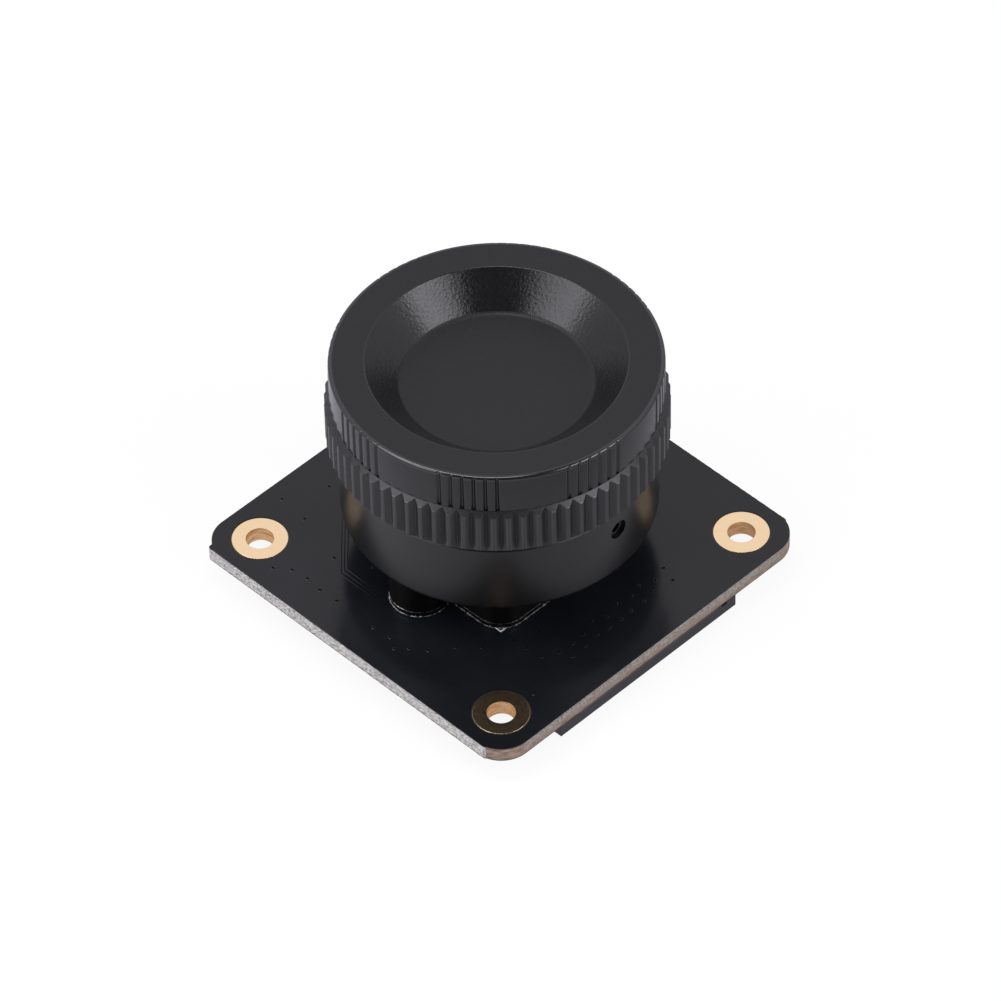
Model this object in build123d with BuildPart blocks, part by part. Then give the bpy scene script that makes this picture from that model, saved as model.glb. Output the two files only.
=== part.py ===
from build123d import *

import math
import os

# Camera module: a square circuit board with an image sensor, a lens mount over the sensor,
# a knurled ring that is screwed into the mount, and a dust cap screwed into the ring.
# A flat cable connector hangs under one edge of the board.
#
# The origin is the middle of the four mounting holes, on the underside of the board.
# Z is the optical axis and points at the scene, and the cable edge is at -Y.
# All lengths are in millimetres and all angles in degrees.

os.makedirs("parts", exist_ok=True)

# Circuit board
board_side = 37.8
board_thickness = 1.5
board_corner_radius = 3.0
mounting_pitch = 30.0
mounting_hole_diameter = 2.5
pad_diameter = 5.0
pad_thickness = 0.04
plating_wall = 0.05
mask_gap = 0.12

# Image sensor: a laminate package with a glass lid over the chip
package_length = 11.0
package_width = 10.0
package_floor = 0.224
package_step = 0.3
die_length = 7.6
die_width = 5.9
die_thickness = 0.15
die_side_gap = 0.4
lid_air_gap = 0.4
lid_thickness = 0.5
lid_overlap = 0.5
lid_side_gap = 0.05

# Lens holder
foot_side = 17.4
foot_corner_radius = 2.5
foot_height = 5.2
ear_spacing = 20.0
ear_radius = 2.7
barrel_wall = 1.3
barrel_edge_radius = 0.5
barrel_top_chamfer = 0.2
flange_distance = 12.526
sensor_room_length = 13.4
sensor_room_width = 12.4
sensor_room_height = 3.8
window_length = 9.4
window_width = 7.8
window_corner_radius = 0.8
gasket_width = 0.8
gasket_thickness = 0.5
gasket_side_gap = 0.05

# Infrared filter, in a pocket at the bottom of the holder's bore
filter_side = 11.5
filter_thickness = 0.8
filter_side_gap = 0.15
filter_recess = 0.2

# Lens thread, one inch across with 32 turns to the inch, drawn as plain running fits
thread_diameter = 25.4
thread_clearance = 0.05
thread_lead = 0.3

# Adapter ring, which moves the seat of the lens out by its height
adapter_height = 5.0
adapter_wall = 2.3
adapter_lower_chamfer = 0.7
adapter_upper_chamfer = 0.3
adapter_mouth_chamfer = 0.2
adapter_spigot_length = 3.8
adapter_spigot_wall = 1.05
spigot_end_gap = 2.0
knurl_count = 72
knurl_width = 1.0
knurl_depth = 0.45
knurl_phase = 1.1

# Dust cap
cap_setback = 0.45
cap_height = 4.0
cap_edge_radius = 0.3
cap_lower_chamfer = 0.2
cap_wall = 1.25
cap_spigot_length = 3.6
cap_end_gap = 0.4
cap_rim_width = 3.15
dish_wall_width = 3.0
dish_depth = 2.9
dish_mouth_rounding = 0.35
dish_floor_rounding = 0.5
grip_groups = 8
grip_grooves = 6
grip_pitch = 4.0
grip_phase = 35.0
grip_width = 0.42
grip_depth = 0.32

# Lock screw, a grub screw through the side of the barrel
lock_screw_diameter = 1.8
lock_screw_length = 0.9
lock_screw_clearance = 0.02
lock_screw_angle = -87.5
lock_screw_height = 10.3
lock_screw_tip_gap = 0.1
lock_socket_width = 0.9
lock_socket_depth = 0.5

# Holder screws, which come up through the board into the two ears
screw_shank_diameter = 1.96
screw_head_diameter = 3.6
screw_head_height = 1.2
screw_head_rounding = 0.7
screw_grip = 3.5
screw_hole_clearance = 0.12
tapped_hole_clearance = 0.02
tapped_hole_end_gap = 0.5
screw_recess_length = 2.0
screw_recess_width = 0.45
screw_recess_depth = 0.7

# Flat cable connector
contact_count = 15
contact_pitch = 1.0
contact_width = 0.3
contact_thickness = 0.2
contact_bump = 0.45
contact_front_gap = 0.6
contact_tail = 0.65
contact_tail_bend = 0.15
contact_channel_gap = 0.05
cable_side_gap = 0.65
cable_gap = 0.7
connector_setback = 0.7
connector_height = 2.35
housing_depth = 4.0
housing_roof = 0.55
housing_floor = 0.7
housing_rear_wall = 0.8
housing_side_wall = 1.35
slider_bar_depth = 1.5
slider_board_gap = 0.05
slider_running_gap = 0.05
slider_lead_in = 0.2
slider_travel = 1.2
tongue_length = 2.6
tongue_thickness = 0.5
tongue_bevel = 0.3
tongue_side_gap = 0.15
arm_thickness = 0.9
arm_length = 2.5
arm_height = 1.7
rail_depth = 0.25
rail_length = 0.9
rail_height = 0.5
rail_end_gap = 0.1
key_notch_offset = 0.55
key_notch_width = 0.6
key_notch_height = 1.3
key_notch_depth = 0.4
hold_down_thickness = 0.2
hold_down_width = 0.9
hold_down_foot = 0.9
hold_down_leg = 1.6
hold_down_gap = 0.3

# Clock oscillator: ceramic base with a metal lid
oscillator_length = 3.2
oscillator_width = 2.5
oscillator_height = 1.0
oscillator_base_height = 0.6
oscillator_lid_inset = 0.2
oscillator_lid_rounding = 0.3
oscillator_edge_distance = 6.85
oscillator_y = -7.0

# Voltage regulators, in five-lead packages
regulator_count = 3
regulator_spacing = 7.0
regulator_row_y = 9.5
regulator_length = 2.9
regulator_width = 1.6
regulator_height = 1.05
regulator_standoff = 0.1
regulator_edge_chamfer = 0.12
lead_pitch = 0.95
lead_width = 0.38
lead_thickness = 0.15
lead_reach = 0.65

# Chip capacitors and resistors
capacitor_length = 1.6
capacitor_width = 0.8
capacitor_height = 0.8
capacitor_offset = 2.4
small_capacitor_length = 1.0
small_capacitor_width = 0.5
small_capacitor_height = 0.5
small_capacitor_columns = 4
small_capacitor_rows = 3
small_capacitor_column_pitch = 2.4
small_capacitor_row_pitch = 2.6
resistor_length = 1.0
resistor_width = 0.5
resistor_height = 0.35
resistor_count = 7
resistor_pitch = 1.8
resistor_row_y = -9.0
terminal_share = 0.25
terminal_wrap = 0.02

# How far a cutting tool reaches past the face that it enters
overcut = 0.5

# Heights along the optical axis
board_top = board_thickness
image_height = package_floor + die_thickness
holder_height = image_height + flange_distance
foot_top = board_top + foot_height
sensor_room_top = board_top + sensor_room_height
seat_z = board_top + holder_height
bore_floor_z = seat_z - adapter_spigot_length - spigot_end_gap
filter_z = bore_floor_z - filter_recess - filter_thickness
adapter_top = seat_z + adapter_height
cap_top = adapter_top + cap_height

# Radii about the optical axis
bore_radius = thread_diameter / 2
barrel_radius = bore_radius + barrel_wall
male_radius = bore_radius - thread_clearance
light_radius = male_radius - adapter_spigot_wall
adapter_radius = bore_radius + adapter_wall
cap_radius = adapter_radius - cap_setback
cap_inner_radius = male_radius - cap_wall


def save(sub_part, name):
    """Label a finished piece and write it to its own file."""
    sub_part.part.label = name
    export_step(sub_part.part, f"parts/{name}.step")


def round_corner(sketch, corner, radius):
    """Round the corner of a profile that lies nearest to a point."""
    fillet(sketch.vertices().sort_by_distance(corner)[0], radius)


# Circuit board, with a shallow opening in the solder mask round each plated hole
with BuildPart() as circuit_board:
    with BuildSketch():
        RectangleRounded(board_side, board_side, board_corner_radius)
    extrude(amount=board_thickness)
    with BuildSketch():
        with GridLocations(mounting_pitch, mounting_pitch, 2, 2):
            Circle(mounting_hole_diameter / 2 + plating_wall)
        with GridLocations(ear_spacing, 0, 2, 1):
            Circle(screw_shank_diameter / 2 + screw_hole_clearance)
    extrude(amount=board_thickness, mode=Mode.SUBTRACT)
    for face_z in (0, board_top - pad_thickness):
        with BuildSketch(Plane.XY.offset(face_z)):
            with GridLocations(mounting_pitch, mounting_pitch, 2, 2):
                Circle(pad_diameter / 2 + mask_gap)
        extrude(amount=pad_thickness, mode=Mode.SUBTRACT)
save(circuit_board, "circuit_board")

# Gold-plated rings on both faces, joined by the plated hole walls
with BuildPart() as mounting_pads:
    with BuildSketch():
        with GridLocations(mounting_pitch, mounting_pitch, 2, 2):
            Circle(mounting_hole_diameter / 2 + plating_wall)
    extrude(amount=board_thickness)
    for face_z in (0, board_top - pad_thickness):
        with BuildSketch(Plane.XY.offset(face_z)):
            with GridLocations(mounting_pitch, mounting_pitch, 2, 2):
                Circle(pad_diameter / 2)
        extrude(amount=pad_thickness)
    with BuildSketch():
        with GridLocations(mounting_pitch, mounting_pitch, 2, 2):
            Circle(mounting_hole_diameter / 2)
    extrude(amount=board_thickness, mode=Mode.SUBTRACT)
save(mounting_pads, "mounting_pads")

# Lens holder: the barrel is turned, and overhangs a square foot with two screw ears
lock_direction = Vector(1, 0, 0).rotate(Axis.Z, lock_screw_angle)
lock_plane = Plane(
    origin=(0, 0, board_top + lock_screw_height), x_dir=(0, 0, 1), z_dir=lock_direction
)
with BuildPart() as lens_holder:
    with BuildSketch(Plane.XZ) as barrel_section:
        with BuildLine():
            Polyline(
                (0, foot_top),
                (barrel_radius, foot_top),
                (barrel_radius, seat_z - barrel_top_chamfer),
                (barrel_radius - barrel_top_chamfer, seat_z),
                (bore_radius, seat_z),
                (bore_radius, bore_floor_z),
                (0, bore_floor_z),
                close=True,
            )
        make_face()
        round_corner(barrel_section, (barrel_radius, foot_top), barrel_edge_radius)
    revolve(axis=Axis.Z)
    with BuildSketch(Plane.XY.offset(board_top)):
        RectangleRounded(foot_side, foot_side, foot_corner_radius)
        with GridLocations(ear_spacing, 0, 2, 1):
            Circle(ear_radius)
    extrude(amount=foot_height)
    # Room for the sensor, with a recess for the gasket round it
    with BuildSketch(Plane.XY.offset(board_top)):
        Rectangle(sensor_room_length, sensor_room_width)
    extrude(amount=sensor_room_height, mode=Mode.SUBTRACT)
    with BuildSketch(Plane.XY.offset(board_top)):
        Rectangle(
            sensor_room_length + 2 * gasket_width,
            sensor_room_width + 2 * gasket_width,
        )
    extrude(amount=gasket_thickness, mode=Mode.SUBTRACT)
    # Window and filter pocket, between the sensor's room and the bore
    with BuildSketch(Plane.XY.offset(sensor_room_top)):
        RectangleRounded(window_length, window_width, window_corner_radius)
    extrude(amount=filter_z - sensor_room_top, mode=Mode.SUBTRACT)
    with BuildSketch(Plane.XY.offset(filter_z)):
        Rectangle(filter_side + 2 * filter_side_gap, filter_side + 2 * filter_side_gap)
    extrude(amount=bore_floor_z - filter_z, mode=Mode.SUBTRACT)
    # Tapped holes in the ears, and the hole of the lock screw
    with BuildSketch(Plane.XY.offset(board_top)):
        with GridLocations(ear_spacing, 0, 2, 1):
            Circle(screw_shank_diameter / 2 + tapped_hole_clearance)
    extrude(amount=screw_grip + tapped_hole_end_gap, mode=Mode.SUBTRACT)
    with BuildSketch(lock_plane):
        Circle(lock_screw_diameter / 2 + lock_screw_clearance)
    extrude(amount=barrel_radius + overcut, mode=Mode.SUBTRACT)
save(lens_holder, "lens_holder")

# Soft gasket between the holder's foot and the board
with BuildPart() as dust_gasket:
    with BuildSketch(Plane.XY.offset(board_top)):
        Rectangle(
            sensor_room_length + 2 * gasket_width - 2 * gasket_side_gap,
            sensor_room_width + 2 * gasket_width - 2 * gasket_side_gap,
        )
        Rectangle(sensor_room_length, sensor_room_width, mode=Mode.SUBTRACT)
    extrude(amount=gasket_thickness)
save(dust_gasket, "dust_gasket")

# Infrared filter, a square glass plate over the window
with BuildPart() as ir_filter:
    with BuildSketch(Plane.XY.offset(filter_z)):
        Rectangle(filter_side, filter_side)
    extrude(amount=filter_thickness)
save(ir_filter, "ir_filter")

# Sensor package, with a well for the chip and a step for the glass lid
die_z = board_top + package_floor
lid_z = board_top + image_height + lid_air_gap
lid_length = die_length + 2 * die_side_gap + 2 * lid_overlap
lid_width = die_width + 2 * die_side_gap + 2 * lid_overlap
with BuildPart() as sensor_package:
    with BuildSketch(Plane.XY.offset(board_top)):
        Rectangle(package_length, package_width)
    extrude(amount=lid_z + package_step - board_top)
    with BuildSketch(Plane.XY.offset(die_z)):
        Rectangle(die_length + 2 * die_side_gap, die_width + 2 * die_side_gap)
    extrude(amount=lid_z - die_z, mode=Mode.SUBTRACT)
    with BuildSketch(Plane.XY.offset(lid_z)):
        Rectangle(lid_length + 2 * lid_side_gap, lid_width + 2 * lid_side_gap)
    extrude(amount=package_step, mode=Mode.SUBTRACT)
save(sensor_package, "sensor_package")

with BuildPart() as sensor_die:
    with BuildSketch(Plane.XY.offset(die_z)):
        Rectangle(die_length, die_width)
    extrude(amount=die_thickness)
save(sensor_die, "sensor_die")

with BuildPart() as sensor_cover_glass:
    with BuildSketch(Plane.XY.offset(lid_z)):
        Rectangle(lid_length, lid_width)
    extrude(amount=lid_thickness)
save(sensor_cover_glass, "sensor_cover_glass")

# Adapter ring: turned in one piece with its spigot, then knurled with straight V-notches
with BuildPart() as adapter_ring:
    with BuildSketch(Plane.XZ):
        with BuildLine():
            Polyline(
                (light_radius, seat_z - adapter_spigot_length),
                (male_radius - thread_lead, seat_z - adapter_spigot_length),
                (male_radius, seat_z - adapter_spigot_length + thread_lead),
                (male_radius, seat_z),
                (adapter_radius - adapter_lower_chamfer, seat_z),
                (adapter_radius, seat_z + adapter_lower_chamfer),
                (adapter_radius, adapter_top - adapter_upper_chamfer),
                (adapter_radius - adapter_upper_chamfer, adapter_top),
                (bore_radius + adapter_mouth_chamfer, adapter_top),
                (bore_radius, adapter_top - adapter_mouth_chamfer),
                (bore_radius, adapter_top - cap_spigot_length - cap_end_gap),
                (light_radius, adapter_top - cap_spigot_length - cap_end_gap),
                close=True,
            )
        make_face()
    revolve(axis=Axis.Z)
    notch_mouth = knurl_width / 2 * (1 + overcut / knurl_depth)
    with BuildSketch(Plane.XY.offset(seat_z)):
        with PolarLocations(adapter_radius, knurl_count, start_angle=knurl_phase):
            Polygon(
                (-knurl_depth, 0),
                (overcut, -notch_mouth),
                (overcut, notch_mouth),
                align=None,
            )
    extrude(amount=adapter_height, mode=Mode.SUBTRACT)
save(adapter_ring, "adapter_ring")

# Dust cap: one moulded shell with a dished top, an even wall and a spigot
dish_mouth_radius = cap_radius - cap_rim_width
dish_floor_radius = dish_mouth_radius - dish_wall_width
dish_floor_z = cap_top - dish_depth
dish_slope = math.atan2(dish_depth, dish_mouth_radius - dish_floor_radius)
under_dish_shift = cap_wall * math.tan(dish_slope / 2)
under_dish_z = dish_floor_z - cap_wall
under_dish_radius = dish_floor_radius + under_dish_shift
under_dish_rise = (cap_inner_radius - under_dish_radius) * math.tan(dish_slope)
with BuildPart() as dust_cap:
    with BuildSketch(Plane.XZ) as cap_section:
        with BuildLine():
            Polyline(
                (0, under_dish_z),
                (under_dish_radius, under_dish_z),
                (cap_inner_radius, under_dish_z + under_dish_rise),
                (cap_inner_radius, adapter_top - cap_spigot_length),
                (male_radius - thread_lead, adapter_top - cap_spigot_length),
                (male_radius, adapter_top - cap_spigot_length + thread_lead),
                (male_radius, adapter_top),
                (cap_radius - cap_lower_chamfer, adapter_top),
                (cap_radius, adapter_top + cap_lower_chamfer),
                (cap_radius, cap_top),
                (dish_mouth_radius, cap_top),
                (dish_floor_radius, dish_floor_z),
                (0, dish_floor_z),
                close=True,
            )
        make_face()
        round_corner(cap_section, (cap_radius, cap_top), cap_edge_radius)
        round_corner(cap_section, (dish_mouth_radius, cap_top), dish_mouth_rounding)
        round_corner(cap_section, (dish_floor_radius, dish_floor_z), dish_floor_rounding)
    revolve(axis=Axis.Z)
    group_angle = 360 / grip_groups
    with BuildSketch(Plane.XY.offset(adapter_top)):
        for group in range(grip_groups):
            first_groove = grip_phase + group * group_angle - grip_pitch * (grip_grooves - 1) / 2
            with PolarLocations(
                cap_radius - grip_depth,
                grip_grooves,
                start_angle=first_groove,
                angular_range=grip_pitch * grip_grooves,
            ):
                Rectangle(grip_depth + overcut, grip_width, align=(Align.MIN, Align.CENTER))
    extrude(amount=cap_height, mode=Mode.SUBTRACT)
save(dust_cap, "dust_cap")

# Lock screw, with a hexagon socket
with BuildPart() as lock_screw:
    with BuildSketch(lock_plane.offset(male_radius + lock_screw_tip_gap)):
        Circle(lock_screw_diameter / 2)
    extrude(amount=lock_screw_length)
    lock_screw_face = male_radius + lock_screw_tip_gap + lock_screw_length
    with BuildSketch(lock_plane.offset(lock_screw_face)):
        RegularPolygon(lock_socket_width / 2, 6, major_radius=False)
    extrude(amount=-lock_socket_depth, mode=Mode.SUBTRACT)
save(lock_screw, "lock_screw")

# Holder screws, with domed heads and cross recesses
for side_name, side in (("left", -1), ("right", 1)):
    screw_x = side * ear_spacing / 2
    screw_plane = Plane(origin=(screw_x, 0, 0), x_dir=(1, 0, 0), z_dir=(0, -1, 0))
    with BuildPart() as holder_screw:
        with BuildSketch(screw_plane) as screw_section:
            with BuildLine():
                Polyline(
                    (0, -screw_head_height),
                    (0, board_top + screw_grip),
                    (screw_shank_diameter / 2, board_top + screw_grip),
                    (screw_shank_diameter / 2, 0),
                    (screw_head_diameter / 2, 0),
                    (screw_head_diameter / 2, -screw_head_height),
                    close=True,
                )
            make_face()
            head_corner = (screw_head_diameter / 2, -screw_head_height)
            round_corner(screw_section, head_corner, screw_head_rounding)
        revolve(axis=Axis((screw_x, 0, 0), (0, 0, 1)))
        with BuildSketch(Plane.XY.offset(-screw_head_height)):
            with Locations((screw_x, 0)):
                Rectangle(screw_recess_length, screw_recess_width)
                Rectangle(screw_recess_width, screw_recess_length)
        extrude(amount=screw_recess_depth, mode=Mode.SUBTRACT)
    save(holder_screw, f"holder_screw_{side_name}")

# Places in the cable connector, from the mating face at the front to the tails at the rear
connector_front_y = -board_side / 2 + connector_setback
housing_front_y = connector_front_y + slider_bar_depth
housing_rear_y = housing_front_y + housing_depth
cable_width = (contact_count + 1) * contact_pitch
slot_width = cable_width + 2 * cable_side_gap
housing_width = slot_width + 2 * housing_side_wall
connector_width = housing_width + 2 * (slider_running_gap + arm_thickness)
cavity_top_z = -housing_roof
cavity_floor_z = -connector_height + housing_floor
tongue_floor_z = cavity_floor_z + slider_running_gap
tongue_top_z = tongue_floor_z + tongue_thickness
arm_middle_z = -connector_height / 2
rail_front_y = housing_front_y + arm_length - rail_end_gap - rail_length
beam_z = cavity_top_z + contact_channel_gap
hold_down_front_y = housing_front_y + arm_length + hold_down_gap

# Housing of the cable connector, open at the front and slotted for each contact
with BuildPart() as connector_housing:
    with BuildSketch():
        with Locations((0, housing_front_y)):
            Rectangle(housing_width, housing_depth, align=(Align.CENTER, Align.MIN))
    extrude(amount=-connector_height)
    with BuildSketch(Plane.XY.offset(cavity_floor_z)):
        with Locations((0, housing_front_y)):
            Rectangle(
                slot_width,
                housing_depth - housing_rear_wall,
                align=(Align.CENTER, Align.MIN),
            )
    extrude(amount=cavity_top_z - cavity_floor_z, mode=Mode.SUBTRACT)
    with BuildSketch(Plane.XY.offset(cavity_top_z)):
        with Locations((0, housing_front_y + contact_front_gap / 2)):
            with GridLocations(contact_pitch, 0, contact_count, 1):
                Rectangle(
                    contact_width + 2 * contact_channel_gap,
                    housing_depth,
                    align=(Align.CENTER, Align.MIN),
                )
    extrude(amount=contact_thickness + 2 * contact_channel_gap, mode=Mode.SUBTRACT)
    # Grooves in both ends for the slider's rails, closed at the front to catch them
    groove_front_y = rail_front_y - slider_travel - slider_running_gap
    groove_length = rail_length + slider_travel + 2 * slider_running_gap
    groove_height = rail_height + 2 * slider_running_gap
    groove_depth = rail_depth + slider_running_gap
    with BuildSketch(Plane.XY.offset(arm_middle_z - groove_height / 2)):
        with Locations((0, groove_front_y + groove_length / 2)):
            with GridLocations(housing_width - groove_depth, 0, 2, 1):
                Rectangle(groove_depth, groove_length)
    extrude(amount=groove_height, mode=Mode.SUBTRACT)
    # Recesses for the metal hold-downs
    with BuildSketch():
        with Locations((0, hold_down_front_y + hold_down_width / 2)):
            with GridLocations(housing_width - hold_down_thickness, 0, 2, 1):
                Rectangle(hold_down_thickness, hold_down_width)
    extrude(amount=-hold_down_leg, mode=Mode.SUBTRACT)
save(connector_housing, "connector_housing")

# Contacts: a bent strip for each conductor, with a bump in the cavity and a tail on the board
contact_tip_y = housing_front_y + contact_front_gap
with BuildPart() as contact_strip:
    with BuildSketch(Plane.YZ):
        with BuildLine():
            Polyline(
                (contact_tip_y, beam_z - contact_bump / 3),
                (contact_tip_y + contact_bump, beam_z - contact_bump),
                (contact_tip_y + 2 * contact_bump, beam_z),
                (housing_rear_y + contact_tail_bend, beam_z),
                (housing_rear_y + 2 * contact_tail_bend, -contact_thickness),
                (housing_rear_y + 2 * contact_tail_bend + contact_tail, -contact_thickness),
            )
            offset(amount=contact_thickness, side=Side.LEFT, kind=Kind.INTERSECTION)
        make_face()
    extrude(amount=contact_width / 2, both=True)
with BuildPart() as connector_contacts:
    with GridLocations(contact_pitch, 0, contact_count, 1):
        add(contact_strip.part)
save(connector_contacts, "connector_contacts")

# Slider: a bar with the cable's slot, a tongue under the cable, and two arms with rails
with BuildPart() as connector_slider:
    with BuildSketch(Plane.XY.offset(-slider_board_gap)):
        with Locations((0, connector_front_y)):
            Rectangle(connector_width, slider_bar_depth, align=(Align.CENTER, Align.MIN))
    extrude(amount=slider_board_gap - connector_height)
    slot_middle_z = tongue_top_z + cable_gap / 2
    with BuildSketch(Plane.XZ.offset(-connector_front_y)):
        with Locations((0, slot_middle_z)):
            Rectangle(slot_width, cable_gap)
    extrude(amount=-slider_bar_depth, mode=Mode.SUBTRACT)
    with BuildSketch(Plane.XZ.offset(-connector_front_y)):
        with Locations((0, slot_middle_z)):
            Rectangle(slot_width + 2 * slider_lead_in, cable_gap + 2 * slider_lead_in)
    extrude(amount=-slider_lead_in, taper=45, mode=Mode.SUBTRACT)
    with BuildSketch(Plane.XZ.offset(-connector_front_y)):
        with Locations((slot_width / 2 + key_notch_offset, -slider_board_gap)):
            Rectangle(key_notch_width, key_notch_height, align=(Align.MIN, Align.MAX))
    extrude(amount=-key_notch_depth, mode=Mode.SUBTRACT)
    with BuildSketch(Plane.YZ):
        with BuildLine():
            Polyline(
                (housing_front_y, tongue_floor_z),
                (housing_front_y + tongue_length, tongue_floor_z),
                (housing_front_y + tongue_length, tongue_top_z - tongue_bevel),
                (housing_front_y + tongue_length - 2 * tongue_bevel, tongue_top_z),
                (housing_front_y, tongue_top_z),
                close=True,
            )
        make_face()
    extrude(amount=slot_width / 2 - tongue_side_gap, both=True)
    with BuildSketch(Plane.XY.offset(arm_middle_z - arm_height / 2)):
        with Locations((0, housing_front_y + arm_length / 2)):
            with GridLocations(connector_width - arm_thickness, 0, 2, 1):
                Rectangle(arm_thickness, arm_length)
    extrude(amount=arm_height)
    rail_reach = rail_depth + slider_running_gap
    with BuildSketch(Plane.XY.offset(arm_middle_z - rail_height / 2)):
        with Locations((0, rail_front_y + rail_length / 2)):
            with GridLocations(housing_width + 2 * slider_running_gap - rail_reach, 0, 2, 1):
                Rectangle(rail_reach, rail_length)
    extrude(amount=rail_height)
save(connector_slider, "connector_slider")

# Hold-downs: bent tabs that are soldered to the board at both ends of the housing
with BuildPart() as connector_hold_downs:
    with BuildSketch(Plane.XZ.offset(-hold_down_front_y)):
        with Locations((housing_width / 2 - hold_down_thickness, 0)):
            Rectangle(hold_down_thickness, hold_down_leg, align=(Align.MIN, Align.MAX))
            Rectangle(
                hold_down_thickness + hold_down_foot,
                hold_down_thickness,
                align=(Align.MIN, Align.MAX),
            )
    extrude(amount=-hold_down_width)
    mirror(about=Plane.YZ)
save(connector_hold_downs, "connector_hold_downs")

# Clock oscillator
oscillator_x = board_side / 2 - oscillator_edge_distance
with BuildPart() as clock_oscillator:
    with BuildSketch():
        with Locations((oscillator_x, oscillator_y)):
            Rectangle(oscillator_length, oscillator_width)
    extrude(amount=-oscillator_base_height)
    with BuildSketch(Plane.XY.offset(-oscillator_base_height)):
        with Locations((oscillator_x, oscillator_y)):
            RectangleRounded(
                oscillator_length - 2 * oscillator_lid_inset,
                oscillator_width - 2 * oscillator_lid_inset,
                oscillator_lid_rounding,
            )
    extrude(amount=oscillator_base_height - oscillator_height)
save(clock_oscillator, "clock_oscillator")

# Voltage regulators in a row, each with two leads at one side and three at the other
regulator_first_x = -regulator_spacing * (regulator_count - 1) / 2
regulator_places = [
    (regulator_first_x + regulator_spacing * number, regulator_row_y)
    for number in range(regulator_count)
]
for number, place in enumerate(regulator_places, start=1):
    with BuildPart() as voltage_regulator:
        with BuildSketch(Plane.XY.offset(-regulator_standoff)):
            with Locations(place):
                Rectangle(regulator_length, regulator_width)
        extrude(amount=-regulator_height)
        lower_edges = voltage_regulator.faces().sort_by(Axis.Z)[0].edges()
        chamfer(lower_edges, regulator_edge_chamfer)
    save(voltage_regulator, f"voltage_regulator_{number}")

lead_root_z = -regulator_standoff - regulator_height / 2
with BuildPart() as regulator_lead:
    with BuildSketch(Plane.YZ):
        with BuildLine():
            Polyline(
                (regulator_width / 2, lead_root_z),
                (regulator_width / 2 + lead_reach / 3, lead_root_z),
                (regulator_width / 2 + lead_reach / 2, -lead_thickness),
                (regulator_width / 2 + lead_reach, -lead_thickness),
            )
            offset(amount=lead_thickness, side=Side.LEFT, kind=Kind.INTERSECTION)
        make_face()
    extrude(amount=lead_width / 2, both=True)
with BuildPart() as regulator_leads:
    with Locations(*regulator_places):
        with GridLocations(lead_pitch, 0, 3, 1):
            add(regulator_lead.part)
        with GridLocations(2 * lead_pitch, 0, 2, 1):
            add(regulator_lead.part.mirror(Plane.XZ))
save(regulator_leads, "regulator_leads")

# Chip capacitors and resistors, all with their length along Y
capacitor_places = [
    (x + side * capacitor_offset, y) for x, y in regulator_places for side in (-1, 1)
]
small_capacitor_places = [
    (location.position.X, location.position.Y)
    for location in GridLocations(
        small_capacitor_column_pitch,
        small_capacitor_row_pitch,
        small_capacitor_columns,
        small_capacitor_rows,
    )
]
resistor_places = [
    ((number - (resistor_count - 1) / 2) * resistor_pitch, resistor_row_y)
    for number in range(resistor_count)
]
hanging = (Align.CENTER, Align.CENTER, Align.MAX)


def chip_bodies(places, length, width, height):
    """Add the body of each chip, between its two end caps."""
    body_length = length * (1 - 2 * terminal_share)
    with Locations(*[(x, y, -terminal_wrap) for x, y in places]):
        Box(width - 2 * terminal_wrap, body_length, height - 2 * terminal_wrap, align=hanging)


def chip_end_caps(places, length, width, height):
    """Add the two metal end caps of each chip."""
    cap_length = length * terminal_share
    for end in (-1, 1):
        with Locations(*[(x, y + end * (length - cap_length) / 2) for x, y in places]):
            Box(width, cap_length, height, align=hanging)


with BuildPart() as capacitors:
    chip_bodies(capacitor_places, capacitor_length, capacitor_width, capacitor_height)
    chip_bodies(
        small_capacitor_places,
        small_capacitor_length,
        small_capacitor_width,
        small_capacitor_height,
    )
save(capacitors, "capacitors")

with BuildPart() as resistors:
    chip_bodies(resistor_places, resistor_length, resistor_width, resistor_height)
save(resistors, "resistors")

with BuildPart() as chip_terminals:
    chip_end_caps(capacitor_places, capacitor_length, capacitor_width, capacitor_height)
    chip_end_caps(
        small_capacitor_places,
        small_capacitor_length,
        small_capacitor_width,
        small_capacitor_height,
    )
    chip_end_caps(resistor_places, resistor_length, resistor_width, resistor_height)
save(chip_terminals, "chip_terminals")
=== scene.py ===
# %% [markdown]
# # Dressing a small camera module
# The CAD model comes in as a fixed frame: its parts never move, and this lesson gives them their
# looks. Plain parts keep their CAD mesh and get a real finish. Parts whose fine form the eye
# would miss, such as the grooved cap, get a finer mesh that stands for the CAD one.

# %% Load the frame
import math

import bmesh
import bpy
from mathutils import Matrix, Vector, noise


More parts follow.
